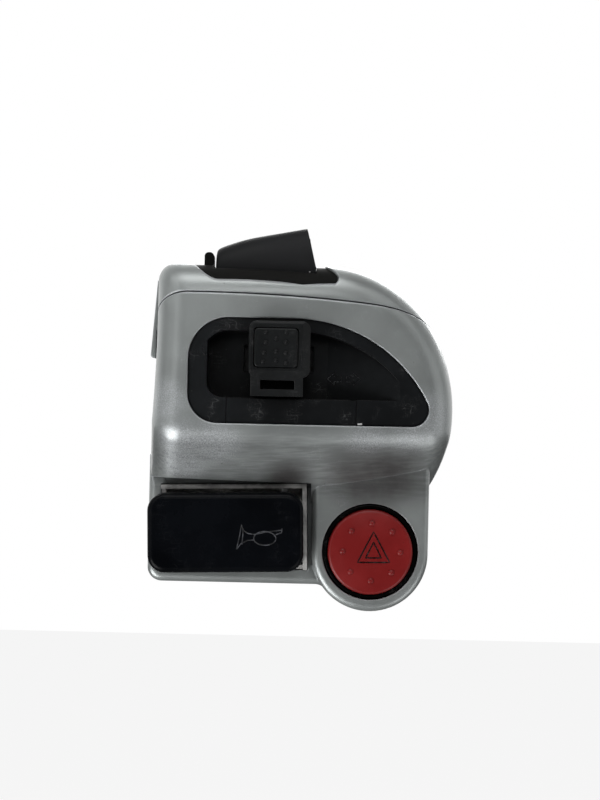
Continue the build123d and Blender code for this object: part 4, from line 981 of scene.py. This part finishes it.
@dataclass
class DipLever:
    """The soft wedge of the dip lever on its drum, which stands for the plain solid.

    Attributes:
        depth: How far towards the rider its middle lies.
        middle: The height at which its sections are widest.
        foot: Where the wedge ends inside the drum.
        sections: The place along X, the top and the half depth of each section.
        end: A place on the leaning right end, as x and z.
        lean: The lean of that end in degrees.
        heel: Where the foot of that end stops, clear of the base's cheek.
        corner: The rounding of its edges.
        drum_ends: Where the drum ends along X.
    """

    depth: float = 17.35
    middle: float = 23.4
    foot: float = 22.4
    sides: int = 32
    sections: tuple[tuple[float, float, float], ...] = (
        (-17.9, 27.1, 3.4),
        (-17.3, 27.9, 3.9),
        (-14.5, 28.9, 4.2),
        (-11.4, 30.0, 4.4),
        (-6.0, 31.0, 4.5),
        (0.0, 32.2, 4.55),
        (6.0, 33.3, 4.55),
    )
    end: Place = (2.5, 24.6)
    lean: float = 13.0
    heel: float = 2.6
    corner: float = 0.8
    drum_ends: Place = (-17.2, 2.5)
    drum_middle: Place = (17.3, 18.2)
    drum_radius: float = 5.8
    drum_floor: float = 16.6
    drum_wall: float = 1.5
    drum_depth: float = 4.0

    def wedge(self) -> bpy.types.Object:
        """Draws the wedge out of its left end section by section and cuts its foot and its leaning end.

        Returns:
            The wedge.
        """
        deselect()
        bpy.ops.mesh.primitive_circle_add(
            vertices=self.sides, radius=1, fill_type="NGON", location=(0, 0, 0), rotation=(0, radians(90), 0)
        )
        piece = bpy.context.object
        bpy.ops.object.transform_apply(location=True, rotation=True, scale=True)
        bpy.ops.object.mode_set(mode="EDIT")
        bpy.ops.mesh.select_all(action="SELECT")
        x, top, half = self.sections[0]
        bpy.ops.transform.resize(value=(1, half * MM, (top - self.middle) * MM), center_override=(0, 0, 0))
        bpy.ops.transform.translate(value=(x * MM, -self.depth * MM, self.middle * MM))
        for next_x, next_top, next_half in self.sections[1:]:
            bpy.ops.mesh.extrude_region_move(TRANSFORM_OT_translate={"value": ((next_x - x) * MM, 0, 0)})
            growth = (1, next_half / half, (next_top - self.middle) / (top - self.middle))
            bpy.ops.transform.resize(
                value=growth, center_override=(next_x * MM, -self.depth * MM, self.middle * MM)
            )
            x, top, half = next_x, next_top, next_half
        bpy.ops.mesh.select_all(action="SELECT")
        bpy.ops.mesh.normals_make_consistent(inside=False)
        bpy.ops.object.mode_set(mode="OBJECT")
        smooth = piece.modifiers.new("smooth", "SUBSURF")
        smooth.levels = smooth.render_levels = 2
        apply_all(piece)
        bpy.ops.object.mode_set(mode="EDIT")
        for place, slope in (
            ((0, 0, self.foot * MM), (0, 0, -1)),
            ((self.end[0] * MM, 0, self.end[1] * MM), (cos(radians(self.lean)), 0, sin(radians(self.lean)))),
            ((self.heel * MM, 0, 0), (1, 0, 0)),
        ):
            bpy.ops.mesh.select_all(action="SELECT")
            bpy.ops.mesh.bisect(plane_co=place, plane_no=slope, clear_outer=True, use_fill=True)
        bpy.ops.object.mode_set(mode="OBJECT")
        edges = piece.modifiers.new("edges", "BEVEL")
        edges.width = self.corner * MM
        edges.segments = 5
        edges.limit_method = "ANGLE"
        edges.angle_limit = radians(50)
        apply_all(piece)
        return piece

    def drum(self) -> bpy.types.Object:
        """Turns the drum, cuts its floor and opens it from below.

        Returns:
            The drum.
        """
        deselect()
        left, right = self.drum_ends
        depth, height = self.drum_middle
        bpy.ops.mesh.primitive_cylinder_add(
            vertices=64,
            radius=self.drum_radius * MM,
            depth=(right - left) * MM,
            location=((left + right) / 2 * MM, -depth * MM, height * MM),
            rotation=(0, radians(90), 0),
        )
        piece = bpy.context.object
        bpy.ops.object.transform_apply(location=True, rotation=True, scale=True)
        bpy.ops.object.mode_set(mode="EDIT")
        bpy.ops.mesh.select_all(action="SELECT")
        bpy.ops.mesh.bisect(
            plane_co=(0, 0, self.drum_floor * MM), plane_no=(0, 0, -1), clear_outer=True, use_fill=True
        )
        bpy.ops.mesh.select_all(action="DESELECT")
        bpy.ops.object.mode_set(mode="OBJECT")
        for face in piece.data.polygons:
            face.select = face.normal.z < -0.99
        bpy.ops.object.mode_set(mode="EDIT")
        bpy.ops.mesh.inset(thickness=self.drum_wall * MM)
        bpy.ops.mesh.extrude_region_move(TRANSFORM_OT_translate={"value": (0, 0, self.drum_depth * MM)})
        bpy.ops.object.mode_set(mode="OBJECT")
        return piece

    def build(self) -> None:
        """Joins the wedge and the drum and lets them stand for the plain lever."""
        lever = settle(joined([self.wedge(), self.drum()]), "dip_lever_soft", LEVER, Body.DIP)
        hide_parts("dip_lever")


@dataclass
class ReturnSpring:
    """A return spring of the solids, with a mesh of its own.

    Attributes:
        node: The spring's node.
        joint: The joint that presses it; not used.
        travel: How far its moving end goes; not used.
    """

    frame: dict = field(repr=False)
    node: str
    joint: str
    travel: float

    def build(self) -> None:
        """Gives the spring a mesh of its own."""
        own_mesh(self.frame["nodes"][self.node])


@dataclass
class SmallMarks:
    """The pin hole in the plate on the roof, the chip in the lever, and the nick and the hook scratch in the panel."""

    frame: dict = field(repr=False)
    hole: tuple[float, float, float] = (3.05, -20.6, 22.45)
    hole_radius: float = 0.36
    chip: tuple[float, float, float] = (1.38, -21.85, 23.04)
    chip_radius: float = 0.14
    nick: tuple[Place, ...] = ((11.5, -7.55), (12.4, -7.5))
    nick_width: float = 0.4
    hook: tuple[Place, ...] = ((-19.7, 7.1), (-19.75, 6.3), (-19.4, 5.75), (-18.8, 5.6), (-18.35, 6.0))
    hook_width: float = 0.12

    def build(self) -> None:
        """Models the marks and presses the drawn ones onto the panel."""
        place = [part * MM for part in self.hole]
        settle(stud(self.hole_radius * MM, self.hole_radius * MM / 2, place), "plate_hole", PRINT_DARK, Body.HOUSING)
        place = [part * MM for part in self.chip]
        settle(stud(self.chip_radius * MM, self.chip_radius * MM, place), "lever_chip", CHIP, Body.DIP)
        for name, points, width, node, finish in (
            ("panel_nick", self.nick, self.nick_width, "blanking_strip", CHIP),
            ("panel_hook", self.hook, self.hook_width, "indicator_bezel", PRINT_WORN),
        ):
            line = drawn([(a * MM, b * MM) for a, b in points], width * MM, -30 * MM, steps=4)
            laid_on(line, self.frame["nodes"][node], 0.02 * MM)
            settle(line, name, finish, Body.HOUSING)


@dataclass
class HazardSign:
    """The ring of studs and the double triangle on the hazard button."""

    frame: dict = field(repr=False)
    centre: Place = (15.3 * MM, -33.8 * MM)
    face: float = -19.4 * MM
    ring: float = 5.9 * MM
    count: int = 8
    radius: float = 0.6 * MM
    height: float = 0.35 * MM
    stroke: float = 0.32 * MM
    outer: tuple[Place, ...] = ((15.68, -29.65), (12.5, -35.95), (19.1, -35.85))
    inner: tuple[Place, ...] = ((15.73, -31.75), (14.15, -35.0), (17.35, -34.95))

    def studs(self) -> None:
        """Models one stud and copies it round the ring at a fixed depth."""
        depth = self.face + 0.24 * MM
        made = []
        for number in range(self.count):
            angle = 2 * pi * number / self.count
            place = (self.centre[0] + self.ring * sin(angle), depth, self.centre[1] + self.ring * cos(angle))
            made.append(copied(made[0], place) if made else stud(self.radius, self.height, place))
        settle(joined(made), "hazard_cap_studs", HAZARD, Body.HAZARD)

    def build(self) -> None:
        """Models the studs and the double triangle."""
        self.studs()
        lines = []
        for corners in (self.outer, self.inner):
            lines.append(drawn([(a * MM, b * MM) for a, b in corners], self.stroke, self.face - 1 * MM, True, 8))
        sign = joined(lines)
        laid_on(sign, self.frame["nodes"]["hazard_cap"], 0.03 * MM)
        settle(sign, "hazard_triangle", PRINT_DARK, Body.HAZARD)


@dataclass
class HornSign:
    """The worn bugle printed on the horn key."""

    face: float = -22.0 * MM
    width: float = 0.26 * MM
    loop_centre: Place = (-6.5, -31.25)
    loop_reach: Place = (2.25, 1.4)
    loop_steps: int = 28
    lines: tuple[tuple[Place, ...], ...] = (
        ((-8.6, -30.5), (-6.2, -29.95), (-3.1, -29.5)),
        ((-3.05, -29.15), (-3.15, -30.1)),
        ((-4.3, -30.45), (-3.1, -30.0)),
        ((-11.3, -28.6), (-10.9, -29.7), (-9.9, -30.35), (-8.6, -30.5)),
        ((-12.2, -33.6), (-11.3, -32.4), (-10.0, -31.75), (-8.7, -31.6)),
        ((-11.3, -28.6), (-11.65, -30.9), (-12.2, -33.6)),
        ((-10.9, -29.3), (-11.0, -31.0), (-11.1, -32.6)),
    )

    def build(self) -> None:
        """Draws the loop, the tube and the bell and joins them."""
        angles = [2 * pi * step / self.loop_steps for step in range(self.loop_steps)]
        x, z = self.loop_centre
        loop = [(x + self.loop_reach[0] * cos(angle), z + self.loop_reach[1] * sin(angle)) for angle in angles]
        lines = [drawn([(a * MM, b * MM) for a, b in loop], self.width, self.face, closed=True)]
        for points in self.lines:
            lines.append(drawn([(a * MM, b * MM) for a, b in points], self.width, self.face))
        settle(joined(lines), "horn_sign", PRINT_WORN, Body.HORN)


@dataclass
class ArrowSign:
    """The two outlined arrows printed on the floor of the indicator panel."""

    frame: dict = field(repr=False)
    width: float = 0.2 * MM
    height: float = 1.45
    left_tip: float = 5.5
    left_head: float = 6.9
    left_end: float = 8.3
    right_start: float = 9.4
    right_head: float = 10.75
    right_tip: float = 12.15
    half_head: float = 1.2
    half_shaft: float = 0.55

    def outline(self, tip: float, head: float, end: float) -> bpy.types.Object:
        """Draws one arrow.

        Args:
            tip: Where its point is along X.
            head: Where its head joins the shaft.
            end: Where the shaft ends.

        Returns:
            The arrow's outline.
        """
        z = self.height
        corners = (
            (tip, z),
            (head, z + self.half_head),
            (head, z + self.half_shaft),
            (end, z + self.half_shaft),
            (end, z - self.half_shaft),
            (head, z - self.half_shaft),
            (head, z - self.half_head),
        )
        return drawn([(a * MM, b * MM) for a, b in corners], self.width, -26 * MM, closed=True)

    def build(self) -> None:
        """Draws both arrows and presses them onto the panel."""
        both = joined(
            [
                self.outline(self.left_tip, self.left_head, self.left_end),
                self.outline(self.right_tip, self.right_head, self.right_start),
            ]
        )
        laid_on(both, self.frame["nodes"]["indicator_bezel"], 0.02 * MM)
        settle(both, "indicator_arrows", PRINT_GREY, Body.HOUSING)


def main() -> None:
    """Builds the scene in order and reports each piece."""
    logging.basicConfig(level=logging.INFO, format="%(message)s")
    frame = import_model()
    Studio().build()
    for finish, nodes in NODE_FINISHES.items():
        for node in nodes:
            dress(frame["nodes"][node], finish)
            log.info("%s has the finish %s", node, finish.name)
    for piece in (CancelGrip(), DipLever(), SmallMarks(frame), HazardSign(frame), HornSign(), ArrowSign(frame)):
        piece.build()
    for node, joint, travel in (
        ("cancel_spring", "cancel_push", 1.0),
        ("horn_spring", "horn_press", 1.1),
        ("hazard_spring", "hazard_press", 2.5),
    ):
        ReturnSpring(frame, node, joint, travel).build()


if __name__ == "__main__":
    main()
